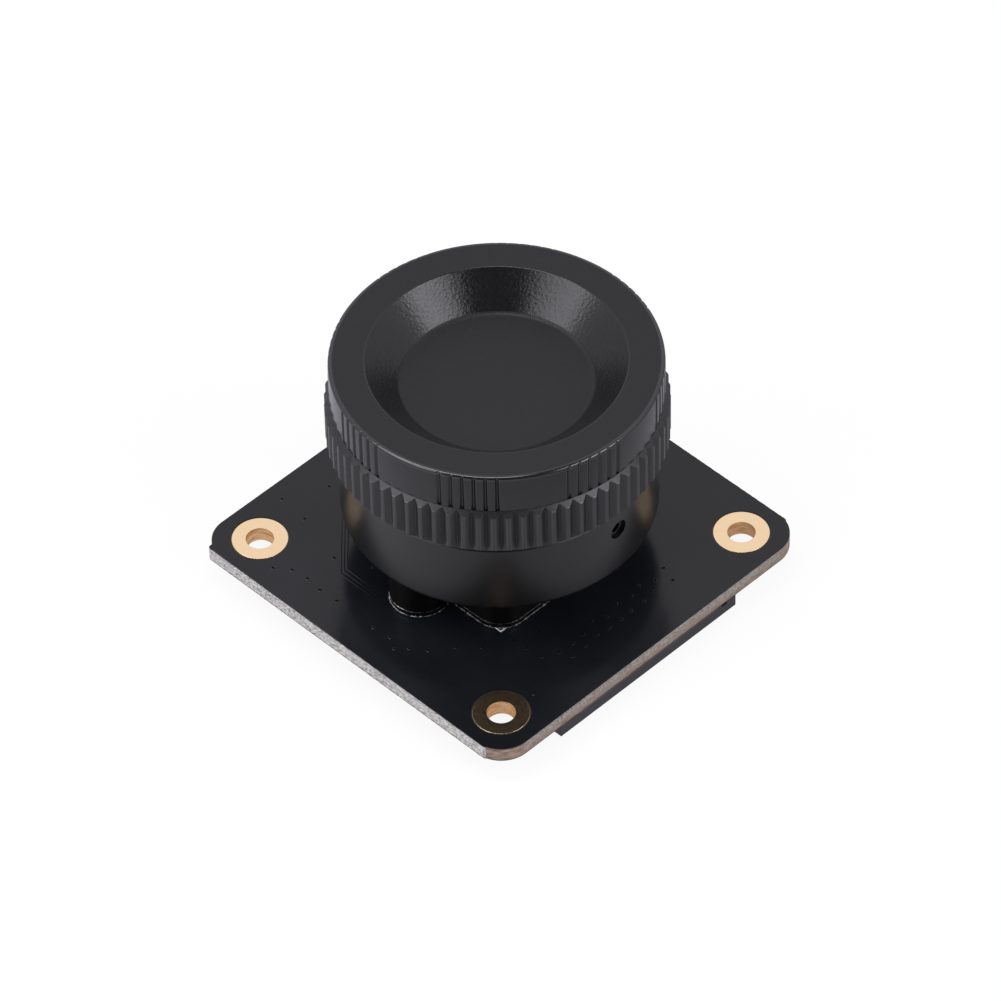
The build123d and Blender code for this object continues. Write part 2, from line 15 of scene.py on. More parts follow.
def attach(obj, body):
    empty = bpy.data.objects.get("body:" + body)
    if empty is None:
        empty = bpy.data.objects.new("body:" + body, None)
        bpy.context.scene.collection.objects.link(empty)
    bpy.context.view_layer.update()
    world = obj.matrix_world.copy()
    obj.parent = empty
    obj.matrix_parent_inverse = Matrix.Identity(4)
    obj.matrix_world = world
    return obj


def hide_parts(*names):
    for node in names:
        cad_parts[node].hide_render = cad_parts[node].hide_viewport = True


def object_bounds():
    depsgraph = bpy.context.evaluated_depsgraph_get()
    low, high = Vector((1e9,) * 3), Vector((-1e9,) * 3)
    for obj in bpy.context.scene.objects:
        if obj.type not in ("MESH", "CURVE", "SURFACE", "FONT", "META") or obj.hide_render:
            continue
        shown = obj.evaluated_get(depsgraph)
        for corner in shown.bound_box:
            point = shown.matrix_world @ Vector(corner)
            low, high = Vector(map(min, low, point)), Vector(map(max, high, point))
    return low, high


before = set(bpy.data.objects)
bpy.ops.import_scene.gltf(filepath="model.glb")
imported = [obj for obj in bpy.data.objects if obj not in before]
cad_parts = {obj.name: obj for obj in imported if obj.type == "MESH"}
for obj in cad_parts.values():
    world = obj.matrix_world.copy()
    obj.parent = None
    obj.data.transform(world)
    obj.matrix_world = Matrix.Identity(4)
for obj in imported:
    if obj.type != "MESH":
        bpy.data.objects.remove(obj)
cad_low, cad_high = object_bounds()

MM = 0.001
print("CAD box in mm:", [round(side / MM, 2) for side in cad_high - cad_low])

# %% [markdown]
# ## The camera
# The photograph was taken from far away with a long lens, from 46 degrees above the corner of the
# board. A camera fitted to the four gold rings gives the numbers here. A tracking constraint could
# aim it, but the picture also has a small roll. So the camera's own three axes are written as the
# columns of a matrix, which leaves no doubt about any of them.

# %% Place the camera
CAMERA_AZIMUTH = math.radians(-44.188)
CAMERA_ELEVATION = math.radians(45.697)
CAMERA_ROLL = math.radians(-1.334)
CAMERA_DISTANCE = 0.64676
CAMERA_LENS, CAMERA_SENSOR = 264.02, 36.0
AIM_RIGHT, AIM_UP, AIM_HEIGHT = 0.000063, 0.003062, 0.0015


def direction(azimuth, elevation):
    """The unit vector at an azimuth, counted from -Y, and an elevation, both in radians."""
    flat = math.cos(elevation)
    return Vector((math.sin(azimuth) * flat, -math.cos(azimuth) * flat, math.sin(elevation)))


backward = direction(CAMERA_AZIMUTH, CAMERA_ELEVATION)
rightward = Vector((math.cos(CAMERA_AZIMUTH), math.sin(CAMERA_AZIMUTH), 0))
upward = backward.cross(rightward)
aim = AIM_RIGHT * rightward + AIM_UP * upward + Vector((0, 0, AIM_HEIGHT))
camera_x = math.cos(CAMERA_ROLL) * rightward + math.sin(CAMERA_ROLL) * upward
camera_y = math.cos(CAMERA_ROLL) * upward - math.sin(CAMERA_ROLL) * rightward

camera_data = bpy.data.cameras.new("product_camera")
camera_data.sensor_width = CAMERA_SENSOR
camera_data.lens = CAMERA_LENS
camera_data.clip_start = 0.01
camera = bpy.data.objects.new("product_camera", camera_data)
scene = bpy.context.scene
scene.collection.objects.link(camera)
axes = Matrix((camera_x, camera_y, backward)).transposed().to_4x4()
camera.matrix_world = Matrix.Translation(aim + CAMERA_DISTANCE * backward) @ axes
scene.camera = camera
print("Camera stands at", [round(v, 3) for v in camera.location])

# %% [markdown]
# ## Colours and nodes
# Finishes are easiest to judge as the hex colours of a swatch book, and Cycles wants linear
# light, so one function turns the one into the other. A second one adds a node, sets it up and
# links it, and every finish below is built with it. Node groups could hold what repeats, but a
# loop or a function shows each step to whoever reads on.

# %% Swatches
WHITE = (1.0, 1.0, 1.0, 1.0)


def swatch(hex_colour):
    """The linear colour of an sRGB hex swatch."""
    shares = [int(hex_colour[start:start + 2], 16) / 255 for start in (1, 3, 5)]
    return [s / 12.92 if s <= 0.04045 else ((s + 0.055) / 1.055) ** 2.4 for s in shares] + [1.0]


print("Middle grey in linear light:", round(swatch("#808080")[0], 3))


# %% Nodes
def add_node(tree, kind, settings=None, inputs=None):
    """Add a node, with its settings and its inputs: a socket is linked, a value is set."""
    made = tree.nodes.new(kind)
    for name, value in (settings or {}).items():
        setattr(made, name, value)
    for name, value in (inputs or {}).items():
        if isinstance(value, bpy.types.NodeSocket):
            tree.links.new(value, made.inputs[name])
        else:
            made.inputs[name].default_value = value
    return made


def new_finish(name, **sockets):
    """A material with one Principled shader, and the coordinates of the frame in metres."""
    material = bpy.data.materials.new(name)
    material.use_nodes = True
    tree = material.node_tree
    tree.nodes.clear()
    shader = add_node(tree, "ShaderNodeBsdfPrincipled", inputs=sockets)
    add_node(tree, "ShaderNodeOutputMaterial", inputs={"Surface": shader.outputs["BSDF"]})
    place = add_node(tree, "ShaderNodeTexCoord").outputs["Object"]
    return material, tree, shader, place


def feed(shader, **values):
    """Link values that change over the surface to the shader's sockets of those names."""
    for name, value in values.items():
        shader.id_data.links.new(value, shader.inputs[name.replace("_", " ")])


def cells_per_metre(size_mm):
    """The texture scale at which one cell is as large as a real size in millimetres."""
    return 1 / (size_mm * MM)


print("A grain of 0.1 mm has", round(cells_per_metre(0.1)), "cells in a metre")

# %% [markdown]
# ## The studio
# A white sweep surrounds the part, so glossy black surfaces are drawn by what they mirror. The
# flat tops mirror the bright back wall. Two soft boxes at the sides make the two soft glares in
# the dish, a small one overhead draws the thin light line on the cap's edge, and the photographer
# stands in front of a darker patch. Near the floor the sweep is in shade, so it is greyer there.
# Real walls and card could stand round the part, but a world that changes smoothly with the
# direction does the same and is easier to match. The lamps are a trace cooler than white, which
# the blacks show.

# %% Light the studio
scene.view_settings.view_transform = "Standard"

WORLD_FILL = 0.55
MIRRORED_LOW, MIRRORED_WALL, WALL_RISE = 0.45, 0.90, (0.0, 0.55)
MIRRORED_CEILING, CEILING_RISE = 0.30, (0.84, 0.96)
MIRRORED_FRONT, FRONT_FACING = 0.10, (0.55, 0.86)
LAMP_TINT = (1.0, 0.972, 1.035)
LAMP_TARGET, LAMP_DISTANCE = Vector((0, 0, 0.012)), 0.4

world = bpy.data.worlds.new("white_sweep")
scene.world = world
world.use_nodes = True
sky = world.node_tree
sky.nodes.clear()
toward = add_node(sky, "ShaderNodeTexCoord").outputs["Generated"]
facing = add_node(
    sky, "ShaderNodeVectorMath", {"operation": "DOT_PRODUCT"}, {0: toward, 1: backward}
).outputs["Value"]
rise = add_node(sky, "ShaderNodeSeparateXYZ", inputs={0: toward}).outputs["Z"]
sweep = MIRRORED_LOW
for value, (start, end), level in (
    (rise, WALL_RISE, MIRRORED_WALL),
    (rise, CEILING_RISE, MIRRORED_CEILING),
    (facing, FRONT_FACING, MIRRORED_FRONT),
):
    sweep = add_node(sky, "ShaderNodeMapRange", {"interpolation_type": "SMOOTHSTEP"}, {
        "Value": value, "From Min": start, "From Max": end, "To Min": sweep, "To Max": level,
    }).outputs["Result"]
rays = add_node(sky, "ShaderNodeLightPath").outputs
mirrored = add_node(sky, "ShaderNodeMix", inputs={
    0: rays["Is Glossy Ray"], 2: WORLD_FILL, 3: sweep,
}).outputs[0]
clear_view = add_node(sky, "ShaderNodeMath", {"operation": "MAXIMUM"}, {
    0: rays["Is Camera Ray"], 1: rays["Is Transmission Ray"],
}).outputs[0]
strength = add_node(sky, "ShaderNodeMix", inputs={0: clear_view, 2: mirrored, 3: 1.0}).outputs[0]
sky_colour = add_node(sky, "ShaderNodeMix", {"data_type": "RGBA"}, {
    0: clear_view, 6: (*LAMP_TINT, 1), 7: WHITE,
}).outputs[2]
background = add_node(sky, "ShaderNodeBackground", inputs={
    "Color": sky_colour, "Strength": strength,
})
add_node(sky, "ShaderNodeOutputWorld", inputs={"Surface": background.outputs[0]})
print("The sweep is", MIRRORED_WALL, "bright at the wall and", MIRRORED_LOW, "near the floor")


# %% Soft boxes
def soft_box(name, turn, elevation, size, power):
    """A soft box that looks at the part, turned away from the camera by an angle in degrees."""
    lamp = bpy.data.lights.new(name, "AREA")
    lamp.shape = "RECTANGLE"
    lamp.size, lamp.size_y = size
    lamp.energy = power
    lamp.color = LAMP_TINT
    lamp_object = bpy.data.objects.new(name, lamp)
    scene.collection.objects.link(lamp_object)
    away = direction(CAMERA_AZIMUTH + math.radians(turn), math.radians(elevation))
    lamp_object.location = LAMP_TARGET + LAMP_DISTANCE * away
    lamp_object.rotation_euler = away.to_track_quat("Z", "Y").to_euler()


soft_box("soft_box_left", -63, 37, (0.28, 0.20), 0.50)
soft_box("soft_box_right", 60, 37, (0.24, 0.20), 0.59)
soft_box("soft_box_overhead", -90, 76, (0.13, 0.30), 0.60)

# %% [markdown]
# The floor is a plain white table. Seen by the camera or through a hole it is mostly its own
# white, and the rest is lit for real, so the soft contact shadow under the part stays. In
# mirrored rays it is greyer, and more so to the picture's right, because that is how the black
# sides show it.

# %% White paper
SHADOW_SHARE = 0.09
FLOOR_MIRRORED_LEFT, FLOOR_MIRRORED_RIGHT, FLOOR_FADE = 0.74, 0.47, 0.035
FLOOR_TINT = (1.0, 0.97, 1.06)

paper = bpy.data.materials.new("matt_white_paper")
paper.use_nodes = True
tree = paper.node_tree
tree.nodes.clear()
lit = add_node(tree, "ShaderNodeBsdfDiffuse", inputs={"Color": swatch("#f6f6f6")})
spot = add_node(tree, "ShaderNodeTexCoord").outputs["Object"]
to_right = add_node(tree, "ShaderNodeVectorMath", {"operation": "DOT_PRODUCT"}, {
    0: spot, 1: rightward,
}).outputs["Value"]
mirrored_level = add_node(tree, "ShaderNodeMapRange", inputs={
    "Value": to_right, "From Min": -FLOOR_FADE, "From Max": FLOOR_FADE,
    "To Min": FLOOR_MIRRORED_LEFT, "To Max": FLOOR_MIRRORED_RIGHT,
}).outputs["Result"]
rays = add_node(tree, "ShaderNodeLightPath").outputs
level_seen = add_node(tree, "ShaderNodeMix", inputs={
    0: rays["Is Glossy Ray"], 2: 1.0, 3: mirrored_level,
}).outputs[0]
glow_colour = add_node(tree, "ShaderNodeMix", {"data_type": "RGBA"}, {
    0: rays["Is Glossy Ray"], 6: WHITE, 7: (*FLOOR_TINT, 1),
}).outputs[2]
glow = add_node(tree, "ShaderNodeEmission", inputs={"Color": glow_colour, "Strength": level_seen})
seen = 0.0
for kind in ("Is Camera Ray", "Is Glossy Ray", "Is Transmission Ray"):
    seen = add_node(tree, "ShaderNodeMath", {"operation": "MAXIMUM"}, {
        0: seen, 1: rays[kind],
    }).outputs[0]
own_share = add_node(tree, "ShaderNodeMath", {"operation": "MULTIPLY"}, {
    0: seen, 1: 1 - SHADOW_SHARE,
}).outputs[0]
mixed = add_node(tree, "ShaderNodeMixShader", inputs={
    0: own_share, 1: lit.outputs[0], 2: glow.outputs[0],
})
add_node(tree, "ShaderNodeOutputMaterial", inputs={"Surface": mixed.outputs[0]})
print("Paper:", len(tree.nodes), "nodes")

# %% Lay the floor
FLOOR_SIDE, FLOOR_GAP = 3.0, 0.00001
floor_mesh = bpy.data.meshes.new("floor")
half = FLOOR_SIDE / 2
floor_mesh.from_pydata(
    [(x, y, cad_low.z - FLOOR_GAP)
     for x, y in ((-half, -half), (half, -half), (half, half), (-half, half))],
    [], [(0, 1, 2, 3)],
)
floor = bpy.data.objects.new("floor", floor_mesh)
scene.collection.objects.link(floor)
floor_mesh.materials.append(paper)
print("The floor lies at", round(cad_low.z / MM, 2), "mm")

# %% [markdown]
# ## Building meshes
# Three ways of making suit this part. Turned pieces come from a profile that goes round the
# optical axis. Flat pieces come from an outline with holes. The rest already has the right form
# in the CAD, and only lacks the tiny rounding that every real edge has, so it gets a bevel.

# %% From a bmesh to a piece
def circle(bm, x, y, radius, z, sides):
    """A ring of vertices on a circle round (x, y), all in mm."""
    return [
        bm.verts.new(((x + radius * math.cos(a)) * MM, (y + radius * math.sin(a)) * MM, z * MM))
        for a in (math.tau * step / sides for step in range(sides))
    ]


def join_rings(bm, first, second):
    """Faces between two rings that have as many vertices each."""
    for here in range(len(first)):
        there = (here + 1) % len(first)
        bm.faces.new((first[here], first[there], second[there], second[here]))


def to_piece(bm, name, finishes, body="module", sharp_degrees=35):
    """Turn a bmesh into a piece that rides on a body, with smooth faces between sharp edges."""
    bmesh.ops.recalc_face_normals(bm, faces=bm.faces)
    for face in bm.faces:
        face.smooth = True
    for edge in bm.edges:
        if len(edge.link_faces) == 2:
            edge.smooth = edge.calc_face_angle(0) < math.radians(sharp_degrees)
    mesh = bpy.data.meshes.new(name)
    bm.to_mesh(mesh)
    bm.free()
    for finish in finishes:
        mesh.materials.append(finish)
    piece = bpy.data.objects.new(name, mesh)
    scene.collection.objects.link(piece)
    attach(piece, body)
    return piece


print("A circle of 64 sides is flat by", round(1 - math.cos(math.pi / 64), 4), "of its radius")

# %% [markdown]
# A lathe turns a profile, and so does this: each row of the profile goes round the axis, and a
# function may push a point in where a notch or a groove cuts it. A screw modifier would be
# shorter, but it couldn't cut anything on the way.

# %% Rounded profiles
def rounded_profile(corners, steps=4):
    """Rows (radius, height, finish) in mm from corners (radius, height, rounding, finish)."""
    rows = []
    for index, (radius, height, rounding, finish) in enumerate(corners):
        here = Vector((radius, height))
        if not rounding:
            rows.append((radius, height, finish))
            continue
        before = Vector(corners[index - 1][:2]) - here
        after = Vector(corners[(index + 1) % len(corners)][:2]) - here
        reach = rounding / math.tan(before.angle(after) / 2)
        start = here + before.normalized() * reach
        end = here + after.normalized() * reach
        for step in range(steps + 1):
            t = step / steps
            point = (1 - t) ** 2 * start + 2 * t * (1 - t) * here + t * t * end
            rows.append((point.x, point.y, finish))
    return rows


print("A rounded corner of four steps has", len(
    rounded_profile([(0, 0, 0, 0), (1, 0, 0.2, 0), (1, 1, 0, 0)])) - 2, "rows")

# %% Turned pieces
FLAT_WITHIN, WELD_TURNED = 0.002, 0.0002


def turned(name, rows, angles, place, finishes, body, closed):
    """A turned piece: every row goes round Z, and place() says where each of its points lies.

    Notches and grooves make outer edges that run across the rows, so a face that is not flat is
    split along the diagonal that lies further out.
    """
    bm = bmesh.new()
    rings, reach = [], []
    for radius, height, _ in rows:
        ring, radii = [], []
        for angle in angles:
            r, z = place(radius, height, angle)
            radii.append(r)
            ring.append(bm.verts.new((
                r * math.cos(angle) * MM, r * math.sin(angle) * MM, z * MM,
            )))
        rings.append(ring)
        reach.append(radii)
    for index in range(len(rings) if closed else len(rings) - 1):
        following = (index + 1) % len(rings)
        ring, after = rings[index], rings[following]
        for here in range(len(angles)):
            there = (here + 1) % len(angles)
            falling = reach[index][here] + reach[following][there]
            rising = reach[index][there] + reach[following][here]
            corners = (ring[here], after[here], after[there], ring[there])
            if abs(falling - rising) < FLAT_WITHIN:
                made = [bm.faces.new(corners)]
            elif falling > rising:
                made = [bm.faces.new(corners[:3]), bm.faces.new((corners[0], *corners[2:]))]
            else:
                made = [bm.faces.new((corners[0], corners[1], corners[3])),
                        bm.faces.new(corners[1:])]
            for face in made:
                face.material_index = rows[index][2]
    bmesh.ops.remove_doubles(bm, verts=bm.verts, dist=WELD_TURNED * MM)
    return to_piece(bm, name, finishes, body)


print("A turned face counts as flat within", FLAT_WITHIN, "mm")

# %% [markdown]
# The CAD mesh has many triangles in each flat face, and a bevel would round the lines between
# them too. So flat neighbours are joined first, and then only the real edges are rounded. Where
# the edge is only 0.05 mm wide, the eye still finds it by the light line that it draws.

# %% Softened CAD pieces
WELD_CAD = 0.001
FLAT_DEGREES, ROUND_DEGREES, BEVEL_DEGREES = 0.3, 30, 35


def softened(node, finish, edge_mm, body="module"):
    """A copy of a CAD node with its flat faces joined and its edges rounded, in its place."""
    bm = bmesh.new()
    bm.from_mesh(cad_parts[node].data)
    bmesh.ops.remove_doubles(bm, verts=bm.verts, dist=WELD_CAD * MM)
    bmesh.ops.dissolve_limit(
        bm, angle_limit=math.radians(FLAT_DEGREES), verts=bm.verts, edges=bm.edges
    )
    piece = to_piece(bm, f"{node}_finished", [finish], body, ROUND_DEGREES)
    bevel = piece.modifiers.new("soft edges", "BEVEL")
    bevel.limit_method = "ANGLE"
    bevel.angle_limit = math.radians(BEVEL_DEGREES)
    bevel.width = edge_mm * MM
    bevel.segments = 2
    bevel.harden_normals = True
    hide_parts(node)
    return piece


print("CAD nodes to dress:", len(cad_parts))

# %% [markdown]
# ## Finishes of the black parts
# Four blacks meet in this part and the eye tells them apart by gloss alone. The cap is moulded
# ABS: its flats come from a spark-eroded mould and are satin, its dish and sides are smoother and
# show a leathery skin. The ring and the holder are anodised aluminium: a dyed oxide film over
# metal, so they stay dark and only mirror at a shallow angle. One plain black could serve for all
# of them, but the part would then look like a single lump.

# %% Grained finishes
GRAIN_LOW, GRAIN_HIGH = 0.3, 0.7


def grained_finish(name, light, dark, roughness, grain_mm, relief_mm,
                   metallic=0.0, ior=1.5, patch_mm=2.0, roughness_spread=0.05, **sockets):
    """A finish with two close colours in soft patches, and a fine grain that also has relief."""
    material, tree, shader, place = new_finish(name, Metallic=metallic, IOR=ior, **sockets)
    patches, grain = [
        add_node(tree, "ShaderNodeTexNoise", inputs={
            "Vector": place, "Scale": cells_per_metre(cell_mm), "Detail": detail,
        }).outputs["Fac"]
        for cell_mm, detail in ((patch_mm, 3.0), (grain_mm, 2.0))
    ]
    colour = add_node(tree, "ShaderNodeMix", {"data_type": "RGBA"}, {
        0: patches, 6: swatch(dark), 7: swatch(light),
    })
    gloss = add_node(tree, "ShaderNodeMapRange", inputs={
        "Value": grain, "From Min": GRAIN_LOW, "From Max": GRAIN_HIGH,
        "To Min": roughness - roughness_spread, "To Max": roughness + roughness_spread,
    })
    relief = add_node(tree, "ShaderNodeBump", inputs={
        "Strength": 1.0, "Distance": relief_mm * MM, "Height": grain,
    })
    feed(shader, Base_Color=colour.outputs[2], Roughness=gloss.outputs["Result"],
         Normal=relief.outputs["Normal"])
    return material


print("Grain from", GRAIN_LOW, "to", GRAIN_HIGH, "takes the whole span of a gloss")


# %% More on a finish
def insides(material):
    """The node tree, the shader and the coordinates of a finish that gets something more."""
    tree = material.node_tree
    shader = next(node for node in tree.nodes if node.type == "BSDF_PRINCIPLED")
    place = next(node for node in tree.nodes if node.type == "TEX_COORD").outputs["Object"]
    return tree, shader, place


def by_radius(tree, place, low_mm, high_mm, low_value, high_value, centre_mm=(0, 0)):
    """A value that changes between two distances from a line along Z."""
    offset = add_node(tree, "ShaderNodeVectorMath", {"operation": "SUBTRACT"}, {
        0: place, 1: (centre_mm[0] * MM, centre_mm[1] * MM, 0),
    }).outputs[0]
    flat = add_node(tree, "ShaderNodeVectorMath", {"operation": "MULTIPLY"}, {
        0: offset, 1: (1, 1, 0),
    }).outputs[0]
    reach = add_node(tree, "ShaderNodeVectorMath", {"operation": "LENGTH"}, {0: flat}).outputs[1]
    return add_node(tree, "ShaderNodeMapRange", inputs={
        "Value": reach, "From Min": low_mm * MM, "From Max": high_mm * MM,
        "To Min": low_value, "To Max": high_value,
    }).outputs["Result"]


print("A change over 0.01 mm of radius is a step of", 0.01 * MM, "m")

# %% Black finishes
# Spark-eroded ABS: an even satin black, with a grain of about 0.1 mm. Its tiny pits swallow part
# of the mirrored light, hence the lower specular level.
cap_satin = grained_finish(
    "abs_spark_eroded", "#111113", "#0a0a0b", 0.46, 0.12, 0.016, patch_mm=0.3,
    roughness_spread=0.08, **{"Specular IOR Level": 0.39},
)
# Moulded gloss ABS of the dish: the same black, tighter, over a leathery skin of 0.3 mm cells.
cap_leathery = grained_finish("abs_leathery_gloss", "#121214", "#0d0d0f", 0.23, 0.27, 0.022)
# Polished ABS of the cap's side: an even gloss that draws the grooves.
cap_gloss = grained_finish(
    "abs_polished_side", "#101012", "#0d0d0f", 0.22, 0.30, 0.002, roughness_spread=0.02,
)
# The cap's top edge is burnished by handling: a tighter, stronger gloss for a thin light line.
cap_edge = grained_finish(
    "abs_burnished_edge", "#101012", "#0d0d0f", 0.13, 0.30, 0.004, roughness_spread=0.03,
    **{"Specular IOR Level": 0.8},
)
# Matt anodised aluminium, tumbled before anodising. Its specular level changes with the radius:
# highest at the notches' lips and lower on the lands, a painted highlight, and lowest in the
# notches, which is painted shade.
LIP_RADII, LAND_RADII = (14.92, 14.96), (14.985, 14.995)
NOTCH_PAINTED_SHADE, LIP_PAINTED_HIGHLIGHT, LAND_PAINTED_HIGHLIGHT = 0.42, 0.72, 0.50
ring_matt = grained_finish(
    "anodised_aluminium_matt_black", "#1e1e20", "#151517", 0.37, 0.12, 0.010, ior=1.6,
    patch_mm=0.3,
)
tree, shader, place = insides(ring_matt)
# Painted highlight on the lips and lands, painted shade in the notches, set by the radius.
painted_sheen = by_radius(tree, place, *LIP_RADII, NOTCH_PAINTED_SHADE, LIP_PAINTED_HIGHLIGHT)
feed(shader, Specular_IOR_Level=by_radius(tree, place, *LAND_RADII, painted_sheen, LAND_PAINTED_HIGHLIGHT))
# Satin anodised aluminium, turned fine: mirrors the board and the gold rings softly. Below the
# barrel, on the foot under the overhang, its specular level drops as painted shade, so the foot's
# dull sides mirror next to nothing.
PAINTED_SHADE_TOP, PAINTED_SHADE_END = 6.5, 6.8
PAINTED_SHADE_SHEEN, BARREL_SHEEN = 0.10, 0.38
holder_satin = grained_finish(
    "anodised_aluminium_satin_black", "#0c0c0d", "#090909", 0.30, 0.10, 0.001, ior=1.6,
    roughness_spread=0.02,
)
tree, shader, place = insides(holder_satin)
height = add_node(tree, "ShaderNodeSeparateXYZ", inputs={0: place}).outputs["Z"]
# Painted shade: the specular level falls on the foot under the barrel's overhang.
feed(shader, Specular_IOR_Level=add_node(tree, "ShaderNodeMapRange", inputs={
    "Value": height, "From Min": PAINTED_SHADE_TOP * MM, "From Max": PAINTED_SHADE_END * MM,
    "To Min": PAINTED_SHADE_SHEEN, "To Max": BARREL_SHEEN,
}).outputs["Result"])
print("Black finishes:", cap_satin.name, cap_leathery.name, cap_gloss.name, cap_edge.name,
      ring_matt.name, holder_satin.name)

# %% [markdown]
# ## The dust cap
# The cap is one moulded shell with a dish in its top. Eight groups of six grooves round its rim
# give fingers a grip. The grooves cut through the rounded top edge, where a bevel of the CAD mesh
# would break up. So the mesh is turned from a profile whose outer radius is never more than the
# groove's floor at that angle. The grooves' lips are softly rounded, which draws the thin light
# lines that the photograph shows.

# %% Grip grooves and thread
CAP_RADIUS, RIM_START = 14.55, 13.5
GROOVE_GROUPS, GROOVES, GROOVE_PITCH, GROOVE_PHASE = 8, 6, 4.0, 35.0
GROOVE_DEPTH, GROOVE_FLAT, GROOVE_MOUTH = 0.19, 0.02, 1.0
THREAD_PITCH, THREAD_DEPTH, THREAD_FADE = 25.4 / 32, 0.40, 0.3
CAP_SPIGOT_RADIUS, SPIGOT_END, SPIGOT_THREAD = 12.65, 19.3, (16.2, 19.2)
FLANK_START, FLANK_END = 0.1, 0.9
TOUCH = 0.001


def smooth_step(low, high, value):
    """0 below low, 1 above high, and a smooth rise between."""
    t = min(max((value - low) / (high - low), 0), 1)
    return t * t * (3 - 2 * t)


groove_centres = [
    GROOVE_PHASE + group * 360 / GROOVE_GROUPS + (number - (GROOVES - 1) / 2) * GROOVE_PITCH
    for group in range(GROOVE_GROUPS) for number in range(GROOVES)
]


def groove_radius(angle):
    """How far out the cap's rim reaches at an angle, in mm."""
    degrees = math.degrees(angle)
    off = min(abs((degrees - centre + 180) % 360 - 180) for centre in groove_centres)
    return CAP_RADIUS - GROOVE_DEPTH * (1 - smooth_step(GROOVE_FLAT, GROOVE_MOUTH, off))


def thread_cut(height, angle, bottom, top):
    """Depth of a one inch thread with 32 turns to the inch, fading out at both its ends."""
    turn = (height / THREAD_PITCH - angle / math.tau) % 1
    fade_in = smooth_step(bottom, bottom + THREAD_FADE, height)
    fade_out = 1 - smooth_step(top - THREAD_FADE, top, height)
    flank = smooth_step(FLANK_START, FLANK_END, abs(2 * turn - 1))
    return THREAD_DEPTH * (fade_in * fade_out) * flank


print("Grooves:", len(groove_centres), "and a thread of", round(THREAD_PITCH, 3), "mm")

# %% Cap angles
GROOVE_SAMPLES = [
    side * off for side in (-1, 1) for off in (1.5, 1.02, 0.90, 0.74, 0.56, 0.34, 0.12)
]
PLAIN_DEGREES = 20
cap_angles = set()
for centre in groove_centres:
    cap_angles.update(round((centre + sample) % 360, 3) for sample in GROOVE_SAMPLES)
for group in range(GROOVE_GROUPS):
    first = GROOVE_PHASE + group * 360 / GROOVE_GROUPS + GROOVES * GROOVE_PITCH / 2
    cap_angles.update(round((first + 1.0 + step) % 360, 3) for step in range(PLAIN_DEGREES))
cap_angles = [math.radians(angle) for angle in sorted(cap_angles)]
print("Angles round the cap:", len(cap_angles))

# %% Cap profile
# The profile goes from the axis inside the shell, out and over the rim, to the axis on top.
SATIN, LEATHERY, GLOSS, EDGE = 0, 1, 2, 3
thread_rows = [(CAP_SPIGOT_RADIUS, SPIGOT_THREAD[0] + 0.1 * row, GLOSS) for row in range(31)]
cap_rows = rounded_profile([
    (0, 19.25, 0, SATIN),
    (8.905, 19.25, 0.4, GLOSS),
    (11.4, 21.66, 0.2, GLOSS),
    (11.4, 15.8, 0.15, GLOSS),
    (12.35, 15.8, 0.1, GLOSS),
]) + thread_rows + rounded_profile([
    (CAP_SPIGOT_RADIUS, 19.4, 0, GLOSS),
    (14.46, 19.4, 0.03, GLOSS),
    (CAP_RADIUS, 19.48, 0.05, GLOSS),
    (CAP_RADIUS, 23.4, 0.36, EDGE),
    (14.17, 23.4, 0, SATIN),
    (11.4, 23.4, 0.22, LEATHERY),
    (8.4, 20.5, 0.7, SATIN),
    (0, 20.5, 0, SATIN),
], steps=7)


def place_on_cap(radius, height, angle):
    """Cut the rim by its grooves, and the spigot by its thread."""
    if radius > RIM_START:
        return min(radius, groove_radius(angle)), height
    if abs(radius - CAP_SPIGOT_RADIUS) < TOUCH and height < SPIGOT_END:
        return radius - thread_cut(height, angle, *SPIGOT_THREAD), height
    return radius, height


dust_cap = turned(
    "dust_cap_moulding", cap_rows, cap_angles, place_on_cap,
    [cap_satin, cap_leathery, cap_gloss, cap_edge], "cap", False,
)
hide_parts("dust_cap")
print("Dust cap:", len(dust_cap.data.polygons), "faces,", len(groove_centres), "grooves")

# %% [markdown]
# ## The adapter ring
# Seventy-two straight V-notches knurl this ring. Each notch leaves a narrow land, and the lands'
# edges are broken in tumbling. Cutting the notches with a boolean would leave those edges sharp.
# The same limit on the radius as on the cap makes them softly: a V with its mouth rounded by a
# square root, so the land's edge is a curve and not a line.

# %% Knurled ring
RING_RADIUS, KNURL_START, KNURL_BOTTOM, RING_TOP = 15.0, 14.2, 14.4, 19.4
NOTCHES, NOTCH_PHASE, NOTCH_DEPTH, NOTCH_HALF = 72, 1.1, 0.46, 2.02
LIP, NOTCH_FLOOR = 0.06, 0.02
RING_BORE, BORE_THREAD = 12.7, (15.6, 19.15)
UPPER_CHAMFER, LOWER_CHAMFER = 0.5, 0.7


def notch_radius(angle):
    """How far out the ring reaches at an angle, in mm."""
    pitch = 360 / NOTCHES
    off = abs((math.degrees(angle) - NOTCH_PHASE + pitch / 2) % pitch - pitch / 2)
    inside = NOTCH_HALF - off
    cut = (inside + math.sqrt(inside * inside + LIP * LIP)) / 2
    return RING_RADIUS - min(NOTCH_DEPTH * cut / NOTCH_HALF, NOTCH_DEPTH - NOTCH_FLOOR)


print("A notch is", round(RING_RADIUS - notch_radius(math.radians(NOTCH_PHASE)), 2), "mm deep")

